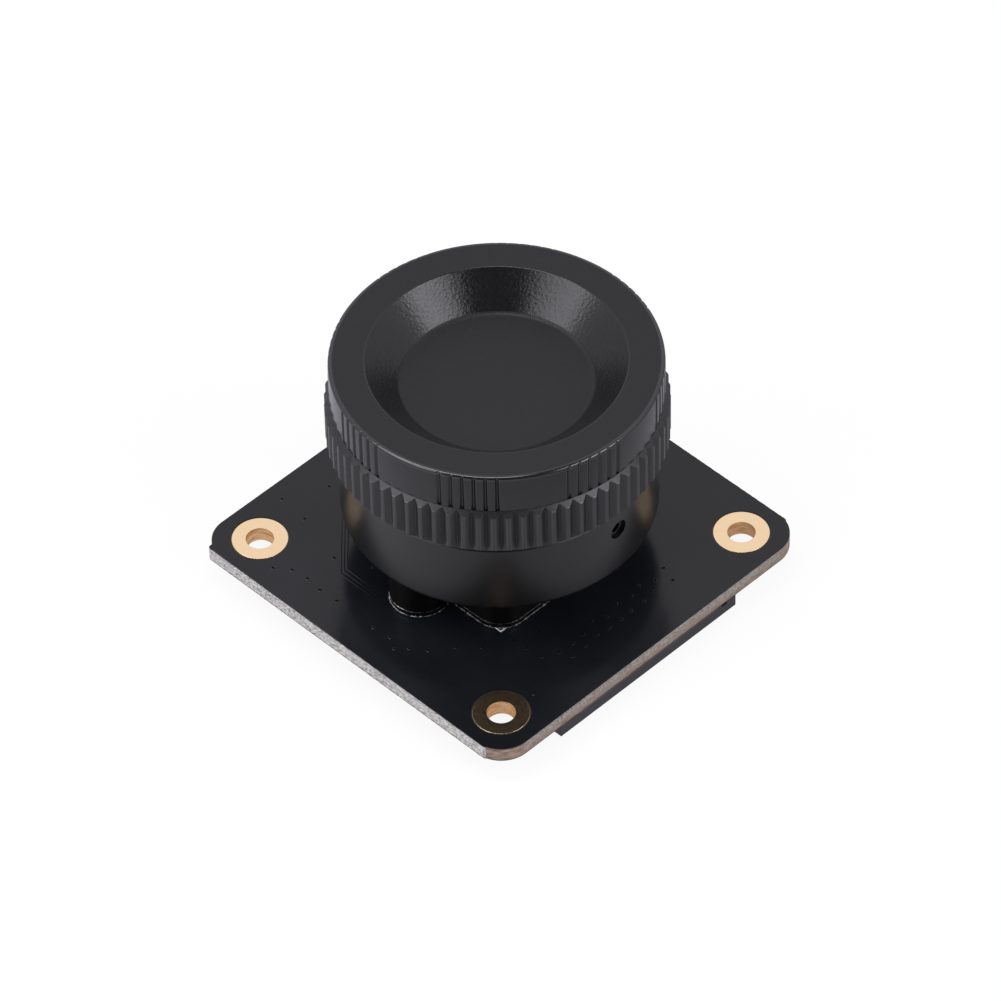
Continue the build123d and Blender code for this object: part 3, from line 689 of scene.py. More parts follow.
# %% Ring angles and profile
NOTCH_OFFSETS = (0.08, 0.5, 0.9, 1.3, 1.7, 1.9, 1.98, 2.05, 2.12, 2.25)
NOTCH_SAMPLES = sorted([side * off for side in (-1, 1) for off in NOTCH_OFFSETS])
ring_angles = [
    math.radians(NOTCH_PHASE + notch * 360 / NOTCHES + sample)
    for notch in range(NOTCHES) for sample in NOTCH_SAMPLES
]
ring_thread_rows = [(RING_BORE, 19.1 - 0.12 * row, 0) for row in range(30)]
notch_radii = [notch_radius(math.radians(NOTCH_PHASE + off)) for off in NOTCH_OFFSETS]
lower_end, upper_end = RING_RADIUS - LOWER_CHAMFER, RING_RADIUS - UPPER_CHAMFER
lower_chamfer_rows = [
    (radius, KNURL_BOTTOM + radius - lower_end, 0)
    for radius in [lower_end] + notch_radii + [RING_RADIUS]
]
upper_chamfer_rows = [
    (radius, RING_TOP - radius + upper_end, 0)
    for radius in [RING_RADIUS] + notch_radii[::-1] + [upper_end] if radius >= upper_end
]
ring_rows = rounded_profile([
    (11.6, 10.6, 0.1, 0),
    (12.35, 10.6, 0, 0),
    (12.65, 10.9, 0, 0),
    (12.65, KNURL_BOTTOM, 0, 0),
]) + lower_chamfer_rows + upper_chamfer_rows + rounded_profile([
    (14.3, RING_TOP, 0, 0),
    (12.9, RING_TOP, 0, 0),
    (12.7, 19.2, 0, 0),
]) + ring_thread_rows + [(RING_BORE, 15.4, 0), (11.6, 15.4, 0)]


def place_on_ring(radius, height, angle):
    """Cut the ring's outside by its notches, and its bore by its thread."""
    if radius > KNURL_START:
        return min(radius, notch_radius(angle)), height
    if abs(radius - RING_BORE) < TOUCH:
        return radius + thread_cut(height, angle, *BORE_THREAD), height
    return radius, height


adapter_ring = turned(
    "adapter_ring_turning", ring_rows, ring_angles, place_on_ring, [ring_matt], "ring", True
)
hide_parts("adapter_ring")
print("Adapter ring:", len(adapter_ring.data.polygons), "faces,", NOTCHES, "notches")

# %% [markdown]
# ## The lens holder
# The holder is turned and milled from one block, and its CAD form is already right. Its edges
# only need the small break that tumbling leaves, so it is the CAD mesh with a bevel, and not a
# new mesh. The barrel's wall catches grazing light, which shows every flat of a coarse mesh, so
# only that wall is divided further.

# %% Holder
holder = softened("lens_holder", holder_satin, 0.07)
print("Holder:", len(holder.data.polygons), "faces before its bevel")

# %% The wall of its barrel
BARREL_RADIUS, WALL_BOTTOM, WALL_TOP, TOP_BREAK = 14.0, 7.2, 13.88, 0.25
WALL_WITHIN, WALL_CUTS = 0.004, 5


def on_wall(point):
    """Whether a point lies on the barrel's wall."""
    return abs(point.xy.length - BARREL_RADIUS * MM) < WALL_WITHIN * MM


def refine_wall(piece):
    """Apply the bevel, and divide the barrel's wall so finely that a grazing light sees it round.

    The wall is first cut level where the rounding under it starts, so that no face of the wall
    reaches into the rounding and bends its light. Its top edge is broken by a small chamfer,
    which draws the thin dark line under the ring.
    """
    seen_as = piece.evaluated_get(bpy.context.evaluated_depsgraph_get())
    mesh = bpy.data.meshes.new_from_object(seen_as)
    bm = bmesh.new()
    bm.from_mesh(mesh)
    for cut_at in (WALL_BOTTOM, WALL_TOP):
        bmesh.ops.bisect_plane(
            bm, geom=bm.verts[:] + bm.edges[:] + bm.faces[:], dist=0.0005 * MM,
            plane_co=(0, 0, cut_at * MM), plane_no=(0, 0, 1),
        )
    for edge in bm.edges:
        if all(abs(v.co.z - WALL_TOP * MM) < TOUCH * MM and on_wall(v.co) for v in edge.verts):
            edge.smooth = False
    for vertex in bm.verts:
        reach = vertex.co.xy.length
        if vertex.co.z > (WALL_TOP + 0.02) * MM and reach > (BARREL_RADIUS - 0.12) * MM:
            vertex.co.xy *= 1 - TOP_BREAK * MM / reach
    level = [
        edge for edge in bm.edges
        if all(on_wall(vertex.co) for vertex in edge.verts)
        and any(all(on_wall(v.co) for v in face.verts) for face in edge.link_faces)
        and (edge.verts[0].co - edge.verts[1].co).xy.length > 0.3 * MM
    ]
    made = bmesh.ops.subdivide_edges(bm, edges=level, cuts=WALL_CUTS)
    for vertex in made["geom_inner"]:
        if isinstance(vertex, bmesh.types.BMVert):
            vertex.co.xy *= BARREL_RADIUS * MM / vertex.co.xy.length
    bm.to_mesh(mesh)
    bm.free()
    normals = [corner.vector.copy() for corner in mesh.corner_normals]
    for face in mesh.polygons:
        corners = [mesh.vertices[number].co for number in face.vertices]
        if all(on_wall(corner) for corner in corners):
            for loop, corner in zip(face.loop_indices, corners):
                normals[loop] = Vector((corner.x, corner.y, 0)).normalized()
    mesh.normals_split_custom_set(normals)
    piece.modifiers.clear()
    piece.data = mesh
    print("Barrel wall:", len(level), "edges divided,", len(mesh.polygons), "faces")


refine_wall(holder)

# %% [markdown]
# The bottom of the foot is milled after anodising, which leaves two thin bright lines of bare
# metal round it: one on the board, and one at the upper end of the milled strip. A second finish
# on the foot's faces would be too wide, so each line is a band of its own, with a small section
# that may change on its way. It follows the foot's outline, which is worked out once more here.

# %% The foot's outline
FOOT_HALF, FOOT_CORNER, EAR_X, EAR_RADIUS = 8.7, 2.5, 10.0, 2.7
CORNER_STEPS, EAR_STEPS = 8, 24


def foot_outline():
    """Points round the foot and its two ears, anticlockwise, in mm."""
    points = []
    side = FOOT_HALF - FOOT_CORNER
    span = math.pi / 2 + math.asin((EAR_X - FOOT_HALF) / EAR_RADIUS)
    for quarter in range(4):
        turn = quarter * math.pi / 2
        if quarter in (0, 2):
            ear = EAR_X if quarter == 0 else -EAR_X
            for step in range(EAR_STEPS + 1):
                a = turn - span + 2 * span * step / EAR_STEPS
                points.append((ear + EAR_RADIUS * math.cos(a), EAR_RADIUS * math.sin(a)))
        x, y = [(side, side), (-side, side), (-side, -side), (side, -side)][quarter]
        for step in range(CORNER_STEPS + 1):
            a = turn + math.pi / 2 * step / CORNER_STEPS
            points.append((x + FOOT_CORNER * math.cos(a), y + FOOT_CORNER * math.sin(a)))
    return points


print("The foot is", 2 * FOOT_HALF, "mm wide, and", 2 * (EAR_X + EAR_RADIUS), "over its ears")


# %% A band round the foot
def dense(points, step_mm):
    """The same closed line with points no further apart than a step."""
    made = []
    for here, there in zip(points, points[1:] + points[:1]):
        here, there = Vector(here), Vector(there)
        parts = max(1, math.ceil((there - here).length / step_mm))
        made += [here.lerp(there, part / parts) for part in range(parts)]
    return made


def closed_band(name, points, section, finish):
    """A closed band: section(point) gives the (outward, height) points of its section in mm."""
    bm = bmesh.new()
    rings = []
    count = len(points)
    for number, point in enumerate(points):
        along = points[(number + 1) % count] - points[number - 1]
        outward = Vector((along.y, -along.x)).normalized()
        rings.append([
            bm.verts.new((
                (point.x + outward.x * out) * MM, (point.y + outward.y * out) * MM, height * MM,
            ))
            for out, height in section(point)
        ])
    for number, ring in enumerate(rings):
        join_rings(bm, ring, rings[(number + 1) % count])
    return to_piece(bm, name, [finish])


FOOT_STEP = 0.12
foot_line = dense(foot_outline(), FOOT_STEP)
print("The band follows", len(foot_line), "points")

# %% [markdown]
# Bare milled aluminium is a bright metal with a fine grain, and a line this thin sparkles where
# the cutter left burrs, so the band's height varies along its run.

# %% The bare edge
BOARD_TOP, MILLED_HEIGHT = 1.5, 0.50
bare_aluminium = grained_finish(
    "milled_aluminium", "#d9dadb", "#b9babb", 0.28, 0.10, 0.01, metallic=1.0,
)


def burr_at(point, layer):
    """How large the cutter's burr is at a point, from 0 to 1, in short broken runs."""
    coarse = noise.noise(Vector((point.x * 2.9, point.y * 2.9, layer)))
    fine = noise.noise(Vector((point.x * 8.3, point.y * 8.3, layer)))
    return min(max(0.42 + 1.2 * coarse + 0.8 * fine, 0.0), 1.0)


def lower_edge_section(point):
    """A low wedge of bare metal between the foot and the board."""
    burr = burr_at(point, 0.0)
    height = 0.01 + 0.11 * burr
    return ((-0.02, BOARD_TOP + 0.001), (0.01 + 0.08 * burr, BOARD_TOP + 0.001),
            (0.01 + 0.04 * burr, BOARD_TOP + height), (-0.02, BOARD_TOP + height + 0.02))


def upper_edge_section(point):
    """A fine ridge at the upper end of the milled strip."""
    burr = burr_at(point, 5.0)
    base = BOARD_TOP + MILLED_HEIGHT
    return ((-0.02, base), (0.008 + 0.020 * burr, base + 0.01),
            (0.008 + 0.014 * burr, base + 0.03 + 0.03 * burr), (-0.02, base + 0.05 + 0.03 * burr))


for name, section in (("foot_lower_edge", lower_edge_section),
                      ("foot_upper_edge", upper_edge_section)):
    closed_band(name, foot_line, section, bare_aluminium)
print("Bare edges:", len(foot_line), "points round the foot")

# %% [markdown]
# ## The circuit board
# The board is glass cloth in resin, pressed from eight plies, with a black solder mask on both
# faces. It came out of its panel in two ways: the two X sides were scored and snapped, so their
# glass fibres are torn and pale, and the Y sides and the corners were routed, which leaves a
# smoother brownish face. The snapped sides run on a little past the start of the corners. A bump
# in the material would leave the outline straight, so the edge is torn in the mesh, ply by ply.

# %% The board's outline
BOARD_HALF, BOARD_CORNER, BOARD_THICKNESS = 18.9, 3.0, 1.5
SNAP_END_FRONT, SNAP_END_BACK = 16.6, 17.3
MASK_THICKNESS = 0.04
HOLE_PITCH, PLATED_HOLE_RADIUS, MASK_OPENING_RADIUS, SCREW_HOLE_RADIUS = 30.0, 1.30, 2.62, 1.10


def corner_points(snap_end):
    """A routed corner of the board, from the end of a snapped side to a routed side's start."""
    inner = BOARD_HALF - BOARD_CORNER
    points = [(BOARD_HALF - 0.05, snap_end + 0.2, 1), (BOARD_HALF - 0.13, snap_end + 0.23, 1)]
    first = math.asin((snap_end + 0.28 - inner) / BOARD_CORNER)
    for step in range(13):
        a = first + (math.pi / 2 - first) * step / 12
        points.append((inner + BOARD_CORNER * math.cos(a), inner + BOARD_CORNER * math.sin(a), 0))
    return points


def board_outline():
    """Points (x, y, torn) round the board, anticlockwise: torn is 1 on the snapped sides."""
    inner = BOARD_HALF - BOARD_CORNER
    snapped_length = SNAP_END_FRONT + SNAP_END_BACK
    right = [(x, -y, torn) for x, y, torn in corner_points(SNAP_END_FRONT)[::-1]]
    right += [(BOARD_HALF, -SNAP_END_FRONT + snapped_length * step / 400, 1)
              for step in range(401)]
    right += corner_points(SNAP_END_BACK)
    top = [(inner - 2 * inner * step / 80, BOARD_HALF, 0) for step in range(1, 80)]
    left = [(-x, y, torn) for x, y, torn in right[::-1]]
    bottom = [(-x, -y, torn) for x, y, torn in top]
    return right + top + left + bottom


def torn_edge(point, height, depth_mm, smooth_mm, inset_mm):
    """A point of the outline, moved inwards as far as the fibres broke away there."""
    x, y, torn = point
    rough = noise.noise(Vector((x * 4.3, y * 4.3, height * 11.0)))
    fine = noise.noise(Vector((x * 11.7, y * 11.7, height * 23.0)))
    depth = depth_mm if torn else smooth_mm
    inward = inset_mm + depth * (0.5 + 0.45 * rough + 0.25 * fine)
    outward = Vector((x, y)).normalized()
    if torn:
        outward = Vector((math.copysign(1, x), 0))
    elif abs(y) == BOARD_HALF:
        outward = Vector((0, math.copysign(1, y)))
    return x - outward.x * inward, y - outward.y * inward


print("The board is", 2 * BOARD_HALF, "mm wide, with", len(board_outline()), "points round it")

# %% [markdown]
# The board and its two masks are plates with round holes. A boolean could drill them, but it
# leaves long thin faces that shade badly. Here the walls of the holes are built first, and the
# two ends are filled between the outline and the holes.

# %% Plates with holes
HOLE_SIDES = 64


def plate(name, rows, holes, finishes, face_slot=0):
    """A plate from rows of outline points at rising heights, with round holes through it."""
    bm = bmesh.new()
    bottom, top = rows[0][0][2], rows[-1][0][2]
    rings = [[bm.verts.new([v * MM for v in point]) for point in row] for row in rows]
    walls = list(zip(rings, rings[1:]))
    ends = [[rings[0]], [rings[-1]]]
    for x, y, radius in holes:
        pair = [circle(bm, x, y, radius, z, HOLE_SIDES) for z in (bottom, top)]
        walls.append(pair)
        ends[0].append(pair[0])
        ends[1].append(pair[1])
    for lower, upper in walls:
        join_rings(bm, lower, upper)
    for loops in ends:
        edges = [
            bm.edges.get((loop[here], loop[(here + 1) % len(loop)]))
            for loop in loops for here in range(len(loop))
        ]
        filled = bmesh.ops.triangle_fill(bm, use_beauty=True, edges=edges)
        for face in filled["geom"]:
            if isinstance(face, bmesh.types.BMFace):
                face.material_index = face_slot
    return to_piece(bm, name, finishes)


print("Each hole has", HOLE_SIDES, "sides")

# %% [markdown]
# The laminate's finish is worked out from where a point lies: on a snapped side it is pale, with
# short torn strands, and elsewhere brownish with long streaks. Strands are about 0.24 mm long and
# half as thick, and streaks 0.9 mm long, so the noise is stretched by those sizes. Separate
# finishes for each side would show a seam where the sides meet.

# %% Noise along the plies
def stretched_noise(tree, place, along_mm, height_mm, detail):
    """Noise whose cells are long along the board's plane and low along its thickness."""
    along_scale, height_scale = cells_per_metre(along_mm), cells_per_metre(height_mm)
    scaled = add_node(tree, "ShaderNodeVectorMath", {"operation": "MULTIPLY"}, {
        0: place, 1: (along_scale, along_scale, height_scale),
    }).outputs[0]
    return add_node(tree, "ShaderNodeTexNoise", inputs={
        "Vector": scaled, "Scale": 1.0, "Detail": detail, "Roughness": 0.65,
    }).outputs["Fac"]


def two_colours(tree, share, first, second, low=0.0, high=1.0):
    """One colour below low, another above high, and a blend of both between."""
    blend = add_node(tree, "ShaderNodeMapRange", inputs={
        "Value": share, "From Min": low, "From Max": high,
    }).outputs["Result"]
    return add_node(tree, "ShaderNodeMix", {"data_type": "RGBA"}, {
        0: blend, 6: first, 7: second,
    }).outputs[2]


laminate, tree, shader, place = new_finish("glass_laminate_cut_edge", Roughness=0.62, IOR=1.52)
strands = stretched_noise(tree, place, 0.24, 0.11, 4.0)
streaks = stretched_noise(tree, place, 0.9, 0.13, 5.0)
speckle = stretched_noise(tree, place, 0.13, 0.10, 2.0)
print("Laminate:", laminate.name)

# %% Where the laminate was snapped
SIDE_BAND, SNAP_MARGIN = 0.2, 0.26
split = add_node(tree, "ShaderNodeSeparateXYZ", inputs={0: place}).outputs
across, along = [
    add_node(tree, "ShaderNodeMath", {"operation": "ABSOLUTE"}, {0: split[axis]}).outputs[0]
    for axis in ("X", "Y")
]
# Pale where the side was snapped: on the X sides, between the two ends of the snapped line.
snapped = 1.0
for operation, value, limit_mm in (
    ("GREATER_THAN", across, BOARD_HALF - SIDE_BAND),
    ("GREATER_THAN", split["Y"], -(SNAP_END_FRONT + SNAP_MARGIN)),
    ("LESS_THAN", split["Y"], SNAP_END_BACK + SNAP_MARGIN),
):
    inside = add_node(tree, "ShaderNodeMath", {"operation": operation}, {
        0: value, 1: limit_mm * MM,
    }).outputs[0]
    snapped = add_node(tree, "ShaderNodeMath", {"operation": "MULTIPLY"}, {
        0: snapped, 1: inside,
    }).outputs[0]
print("Snapped from", -SNAP_END_FRONT, "to", SNAP_END_BACK, "mm along the X sides")

# %% Laminate colours
pale = two_colours(tree, strands, swatch("#686765"), swatch("#d6d5d1"), 0.37, 0.60)
# The router leaves the upper plies greyer and the lower ones browner.
grey_cut = two_colours(tree, speckle, swatch("#4f4b46"), swatch("#ada59b"), 0.34, 0.66)
brown_cut = two_colours(tree, streaks, swatch("#59493b"), swatch("#a18b78"), 0.36, 0.62)
brown = two_colours(tree, split["Z"], brown_cut, grey_cut, 0.35 * MM, 0.85 * MM)
in_corner = add_node(tree, "ShaderNodeMath", {"operation": "MINIMUM"}, {
    0: across, 1: along,
}).outputs[0]
corner_start = BOARD_HALF - BOARD_CORNER
brown = two_colours(
    tree, in_corner, brown, brown_cut, (corner_start - 0.3) * MM, (corner_start + 0.5) * MM,
)
cut_colour = add_node(tree, "ShaderNodeMix", {"data_type": "RGBA"}, {
    0: snapped, 6: brown, 7: pale,
}).outputs[2]
# Close under each mask the laminate is darker: a thin line along both rims of the cut.
half_thickness = BOARD_THICKNESS / 2
from_middle = add_node(tree, "ShaderNodeMath", {"operation": "SUBTRACT"}, {
    0: split["Z"], 1: half_thickness * MM,
}).outputs[0]
from_middle = add_node(tree, "ShaderNodeMath", {"operation": "ABSOLUTE"}, {
    0: from_middle,
}).outputs[0]
edge_colour = two_colours(
    tree, from_middle, cut_colour, swatch("#3a3330"),
    (half_thickness - 0.15) * MM, (half_thickness - 0.05) * MM,
)
relief = add_node(tree, "ShaderNodeBump", inputs={
    "Strength": 1.0, "Distance": 0.04 * MM, "Height": strands,
})
feed(shader, Base_Color=edge_colour, Normal=relief.outputs["Normal"])
print("The laminate's face has", len(tree.nodes), "nodes")

# %% Resin and mask
# Between a gold ring and the mask a thin line of bare resin shows. Its dark reddish brown is
# partly painted shade: the shadow of the mask's step round the ring.
shaded_resin = grained_finish("bare_resin_face_painted_shade", "#33231a", "#261a13", 0.45, 0.2, 0.005)

# Solder mask: a glossy black lacquer with a hint of blue, levelled over the glass cloth, whose
# weave of 0.5 mm still shows as a faint orange peel.
solder_mask, tree, shader, place = new_finish("solder_mask_black_gloss", IOR=1.40)
cloth, dust = [
    add_node(tree, "ShaderNodeTexNoise", inputs={
        "Vector": place, "Scale": cells_per_metre(cell_mm), "Detail": detail,
    }).outputs["Fac"]
    for cell_mm, detail in ((0.5, 2.0), (6.0, 4.0))
]
mask_gloss = add_node(tree, "ShaderNodeMapRange", inputs={
    "Value": cloth, "To Min": 0.12, "To Max": 0.22,
})
relief = add_node(tree, "ShaderNodeBump", inputs={
    "Strength": 1.0, "Distance": 0.0012 * MM, "Height": cloth,
})
feed(
    shader, Base_Color=two_colours(tree, dust, swatch("#131518"), swatch("#181a1d"), 0.35, 0.65),
    Roughness=mask_gloss.outputs["Result"], Normal=relief.outputs["Normal"],
)
print("Board finishes:", laminate.name, shaded_resin.name, solder_mask.name)

# %% Laminate and mask
PLIES = 8
outline = board_outline()
corner_holes = [(sx * HOLE_PITCH / 2, sy * HOLE_PITCH / 2) for sx in (-1, 1) for sy in (-1, 1)]
screw_holes = [(side * EAR_X, 0, SCREW_HOLE_RADIUS) for side in (-1, 1)]
ply_levels = [
    MASK_THICKNESS + (BOARD_THICKNESS - 2 * MASK_THICKNESS) * ply / PLIES
    for ply in range(PLIES + 1)
]
laminate_rows = [
    [(*torn_edge(point, z, 0.045, 0.010, 0.0), z) for point in outline] for z in ply_levels
]
board = plate(
    "board_laminate", laminate_rows,
    [(x, y, PLATED_HOLE_RADIUS) for x, y in corner_holes] + screw_holes,
    [laminate, shaded_resin], face_slot=1,
)
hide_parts("circuit_board")
for name, bottom in (("mask_top", BOARD_THICKNESS - MASK_THICKNESS), ("mask_bottom", 0.0)):
    sheet_rows = [
        [(*torn_edge(point, bottom * 3 + 5, 0.05, 0.01, 0.006), z) for point in outline]
        for z in (bottom, bottom + MASK_THICKNESS)
    ]
    sheet = plate(
        name, sheet_rows,
        [(x, y, MASK_OPENING_RADIUS) for x, y in corner_holes] + screw_holes, [solder_mask],
    )
print("Board:", len(outline), "points round,", PLIES, "plies")

# %% [markdown]
# ## Gold rings
# The rings and the hole walls are copper under nickel, with a thin skin of immersion gold. It is
# paler than solid gold, with the faint mottling of the copper grain under it. The rims are a
# little rounded, which draws the thin light line round each ring. The drilled hole walls keep the
# drill's streaks and are a deeper orange. Ring and wall are one piece of metal, so one finish
# covers both and changes where they meet.

# %% Gold
WALL_EDGE, FACE_EDGE = 1.257, 1.267
gold = grained_finish(
    "immersion_gold_over_nickel", "#fde2b8", "#f9dbae", 0.20, 0.12, 0.004, metallic=1.0,
    patch_mm=0.6,
)
# The hole walls are told from the rings by the distance from the nearest hole's centre.
tree, shader, place = insides(gold)
one_quarter = add_node(tree, "ShaderNodeVectorMath", {"operation": "ABSOLUTE"}, {
    0: place,
}).outputs[0]
hole_centre = (HOLE_PITCH / 2, HOLE_PITCH / 2)
on_face = by_radius(tree, one_quarter, WALL_EDGE, FACE_EDGE, 0.0, 1.0, hole_centre)
drill_streaks = stretched_noise(tree, place, 1.2, 0.07, 2.0)
wall_colour = two_colours(tree, drill_streaks, swatch("#cd8f54"), swatch("#ffe0ae"), 0.35, 0.65)
face_colour = shader.inputs["Base Color"].links[0].from_socket
face_gloss = shader.inputs["Roughness"].links[0].from_socket
gold_colour = add_node(tree, "ShaderNodeMix", {"data_type": "RGBA"}, {
    0: on_face, 6: wall_colour, 7: face_colour,
})
gold_gloss = add_node(tree, "ShaderNodeMix", inputs={0: on_face, 2: 0.50, 3: face_gloss})
feed(shader, Base_Color=gold_colour.outputs[2], Roughness=gold_gloss.outputs[0])
softened("mounting_pads", gold, 0.02)
print("Gold:", len(corner_holes), "rings round holes of", 2 * PLATED_HOLE_RADIUS, "mm")


# %% [markdown]
# Some parts inside are plain in form and hardly seen. They keep their CAD mesh and only get
# another finish, because a finer copy would cost time and show nothing.

# %% Another finish for a CAD node
def refinish(node, finish):
    """Give a CAD node another finish, and leave its mesh as it is."""
    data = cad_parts[node].data
    data.materials.clear()
    data.materials.append(finish)


print("Faces of the sensor's CAD mesh:", len(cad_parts["sensor_package"].data.polygons))

# %% [markdown]
# ## Print, tracks and vias
# A square is printed where the holder's foot goes. The foot covers it, except for the sharp tips
# at its four rounded corners. Copper tracks stand up through the mask as low ridges. Vias are
# tiny craters: the mask sags into each drilled hole. A mask painted in the material could draw
# them all, but they catch the light, so they are real relief of 0.02 mm or so.

# %% Ridges
print_ink = grained_finish(
    "screen_print_white", "#f4f4f2", "#a9aaac", 0.55, 0.10, 0.01, patch_mm=0.25,
)


def ridge(bm, points, width, base, rises):
    """A low ridge with sloping sides along an open line, mitred where it bends.

    A single rise holds all along, and a list gives one for each point.
    """
    points = [Vector(point) for point in points]
    if not isinstance(rises, (list, tuple)):
        rises = [rises] * len(points)
    sections = []
    for number, point in enumerate(points):
        before = (point - points[number - 1]).normalized() if number else None
        after = (points[number + 1] - point).normalized() if number + 1 < len(points) else before
        before = before or after
        side = Vector((before.y + after.y, -before.x - after.x)).normalized()
        side *= 1 / max(0.3, side.dot(Vector((before.y, -before.x))))
        rise = rises[number]
        sections.append([
            bm.verts.new((
                (point.x + side.x * out) * MM, (point.y + side.y * out) * MM,
                (base + up) * MM,
            ))
            for out, up in ((-width / 2, 0), (-width / 3, rise), (width / 3, rise), (width / 2, 0))
        ])
    for first, second in zip(sections, sections[1:]):
        join_rings(bm, first, second)
    bm.faces.new(sections[0])
    bm.faces.new(sections[-1][::-1])


print("Ridges of ink:", print_ink.name)

# %% Spots and marks
SPOT_SIDES = 20


def disc(bm, x, y, radius, base, rise, sides=SPOT_SIDES):
    """A flat round spot, of print or of metal."""
    low, high = [circle(bm, x, y, radius, z, sides) for z in (base, base + rise)]
    join_rings(bm, low, high)
    bm.faces.new(low)
    bm.faces.new(high[::-1])


def corner_marks(bm, centre, half_x, half_y, arm, width, base, rise):
    """Four printed angles at the corners of a rectangle."""
    for x_side in (-1, 1):
        for y_side in (-1, 1):
            tip = centre + Vector((x_side * half_x, y_side * half_y))
            ends = tip - Vector((x_side * arm, 0)), tip - Vector((0, y_side * arm))
            ridge(bm, [ends[0], tip, ends[1]], width, base, rise)


print("A printed spot has", SPOT_SIDES, "sides")

# %% Print and tracks on top
PRINT_HALF, PRINT_ARM, PRINT_WIDTH, PRINT_RISE = 8.23, 0.9, 0.14, 0.018
TRACK_WIDTH, TRACK_RISE, TRACK_END = 0.2, 0.022, 0.002
bm = bmesh.new()
corner_marks(bm, Vector((0, 0)), PRINT_HALF, PRINT_HALF, PRINT_ARM, PRINT_WIDTH, BOARD_TOP,
             PRINT_RISE)
foot_print = to_piece(bm, "printed_foot_corners", [print_ink])

bm = bmesh.new()
for bend_x in (-13.06, -12.68, -12.28):
    ridge(bm, [(bend_x + 6.4, 6.8 + 6.4), (bend_x, 6.8), (bend_x, 4.6), (bend_x, 2.6)],
          TRACK_WIDTH, BOARD_TOP, (TRACK_RISE, TRACK_RISE, TRACK_RISE / 2, TRACK_END))
ridge(bm, [(-4.2, 19.1 - 0.6), (-6.2, 17.1), (-13.4, 9.75)],
      TRACK_WIDTH, BOARD_TOP, (TRACK_END, TRACK_RISE / 3, TRACK_RISE / 3))
tracks_top = to_piece(bm, "tracks_under_top_mask", [solder_mask])
print("Print and tracks:", len(foot_print.data.polygons), len(tracks_top.data.polygons), "faces")

# %% [markdown]
# Underneath, the fifteen tracks of the cable run to the row of resistors and past it to vias, the
# regulators have wider tracks, and printed lines stand beside the larger parts, with a dot at
# each first pin. Four gold spots are there for the tester's needles.

# %% Tracks underneath
CONTACT_NUMBERS, GAP_PITCH = range(-7, 8), 0.9
REGULATORS, REGULATOR_Y = (-7.0, 0.0, 7.0), 9.5
REGULATOR_TRACK, SUPPLY_TRACK = 0.35, 0.5


def track_below(bm, points, width=TRACK_WIDTH):
    """A track on the board's lower face."""
    ridge(bm, points, width, 0.0, -TRACK_RISE)


bottom_vias = []
bm = bmesh.new()
for contact in CONTACT_NUMBERS:
    x = contact * GAP_PITCH
    bend = [(contact, -11.45), (contact, -10.9), (x, -10.9 + abs(contact - x))]
    if contact % 2 == 0:
        track_below(bm, bend + [(x, -9.7)])
        track_below(bm, [(x, -8.3), (x, -7.3)])
        bottom_vias.append((x, -7.2))
    else:
        track_below(bm, bend + [(x, -4.5)])
        bottom_vias.append((x, -4.4))
for x in REGULATORS:
    for points in (
        [(x - 0.95, 7.8), (x - 0.95, 6.6), (x - 0.35, 6.0), (x - 0.35, 4.6)],
        [(x + 0.95, 7.8), (x + 0.95, 6.2), (x + 1.6, 5.55), (x + 1.6, 4.6)],
        [(x, 11.2), (x, 12.3), (x - 0.95, 13.25)],
    ):
        track_below(bm, points, REGULATOR_TRACK)
    bottom_vias += [(x - 0.35, 4.5), (x + 1.6, 4.5), (x - 1.05, 13.35)]
track_below(bm, [(7.95, 11.2), (7.95, 12.4), (11.9, 12.4), (13.9, 10.4), (13.9, -3.6),
                 (12.9, -4.6), (12.9, -5.4)], SUPPLY_TRACK)
track_below(bm, [(-7.95, 11.2), (-7.95, 12.4), (-11.9, 12.4), (-13.9, 10.4), (-13.9, -9.6),
                 (-11.6, -11.9), (-11.6, -12.6)], SUPPLY_TRACK)
track_below(bm, [(10.2, -6.2), (8.6, -6.2), (7.6, -5.2), (7.6, -1.4)])
tracks_bottom = to_piece(bm, "tracks_under_bottom_mask", [solder_mask])
print("Underside:", len(tracks_bottom.data.polygons), "track faces,", len(bottom_vias), "vias")

# %% Print and tester's spots underneath
OSCILLATOR = Vector((12.05, -7.0))
MARK_WIDTH, FIRST_PIN_DOT, CONNECTOR_DOT, TEST_SPOT = 0.12, 0.15, 0.16, 0.5
bm = bmesh.new()
for x in REGULATORS:
    for side in (-1, 1):
        ridge(bm, [(x + side * 1.68, REGULATOR_Y - 0.75), (x + side * 1.68, REGULATOR_Y + 0.75)],
              MARK_WIDTH, 0.0, -PRINT_RISE)
    disc(bm, x - 1.55, REGULATOR_Y - 1.45, FIRST_PIN_DOT, 0.0, -PRINT_RISE)
corner_marks(bm, OSCILLATOR, 1.95, 1.6, 0.7, MARK_WIDTH, 0.0, -PRINT_RISE)
disc(bm, OSCILLATOR.x - 2.4, OSCILLATOR.y - 1.9, FIRST_PIN_DOT, 0.0, -PRINT_RISE)
disc(bm, -7.9, -11.9, CONNECTOR_DOT, 0.0, -PRINT_RISE)
marks_bottom = to_piece(bm, "printed_marks_bottom", [print_ink])

bm = bmesh.new()
for x, y in ((-11.2, 3.4), (-11.2, 5.6), (10.4, 3.4), (10.4, 5.6)):
    disc(bm, x, y, TEST_SPOT, 0.0, -0.03, 32)
test_spots = to_piece(bm, "tester_spots_bottom", [gold])
print("Underside:", len(marks_bottom.data.polygons), "printed faces")
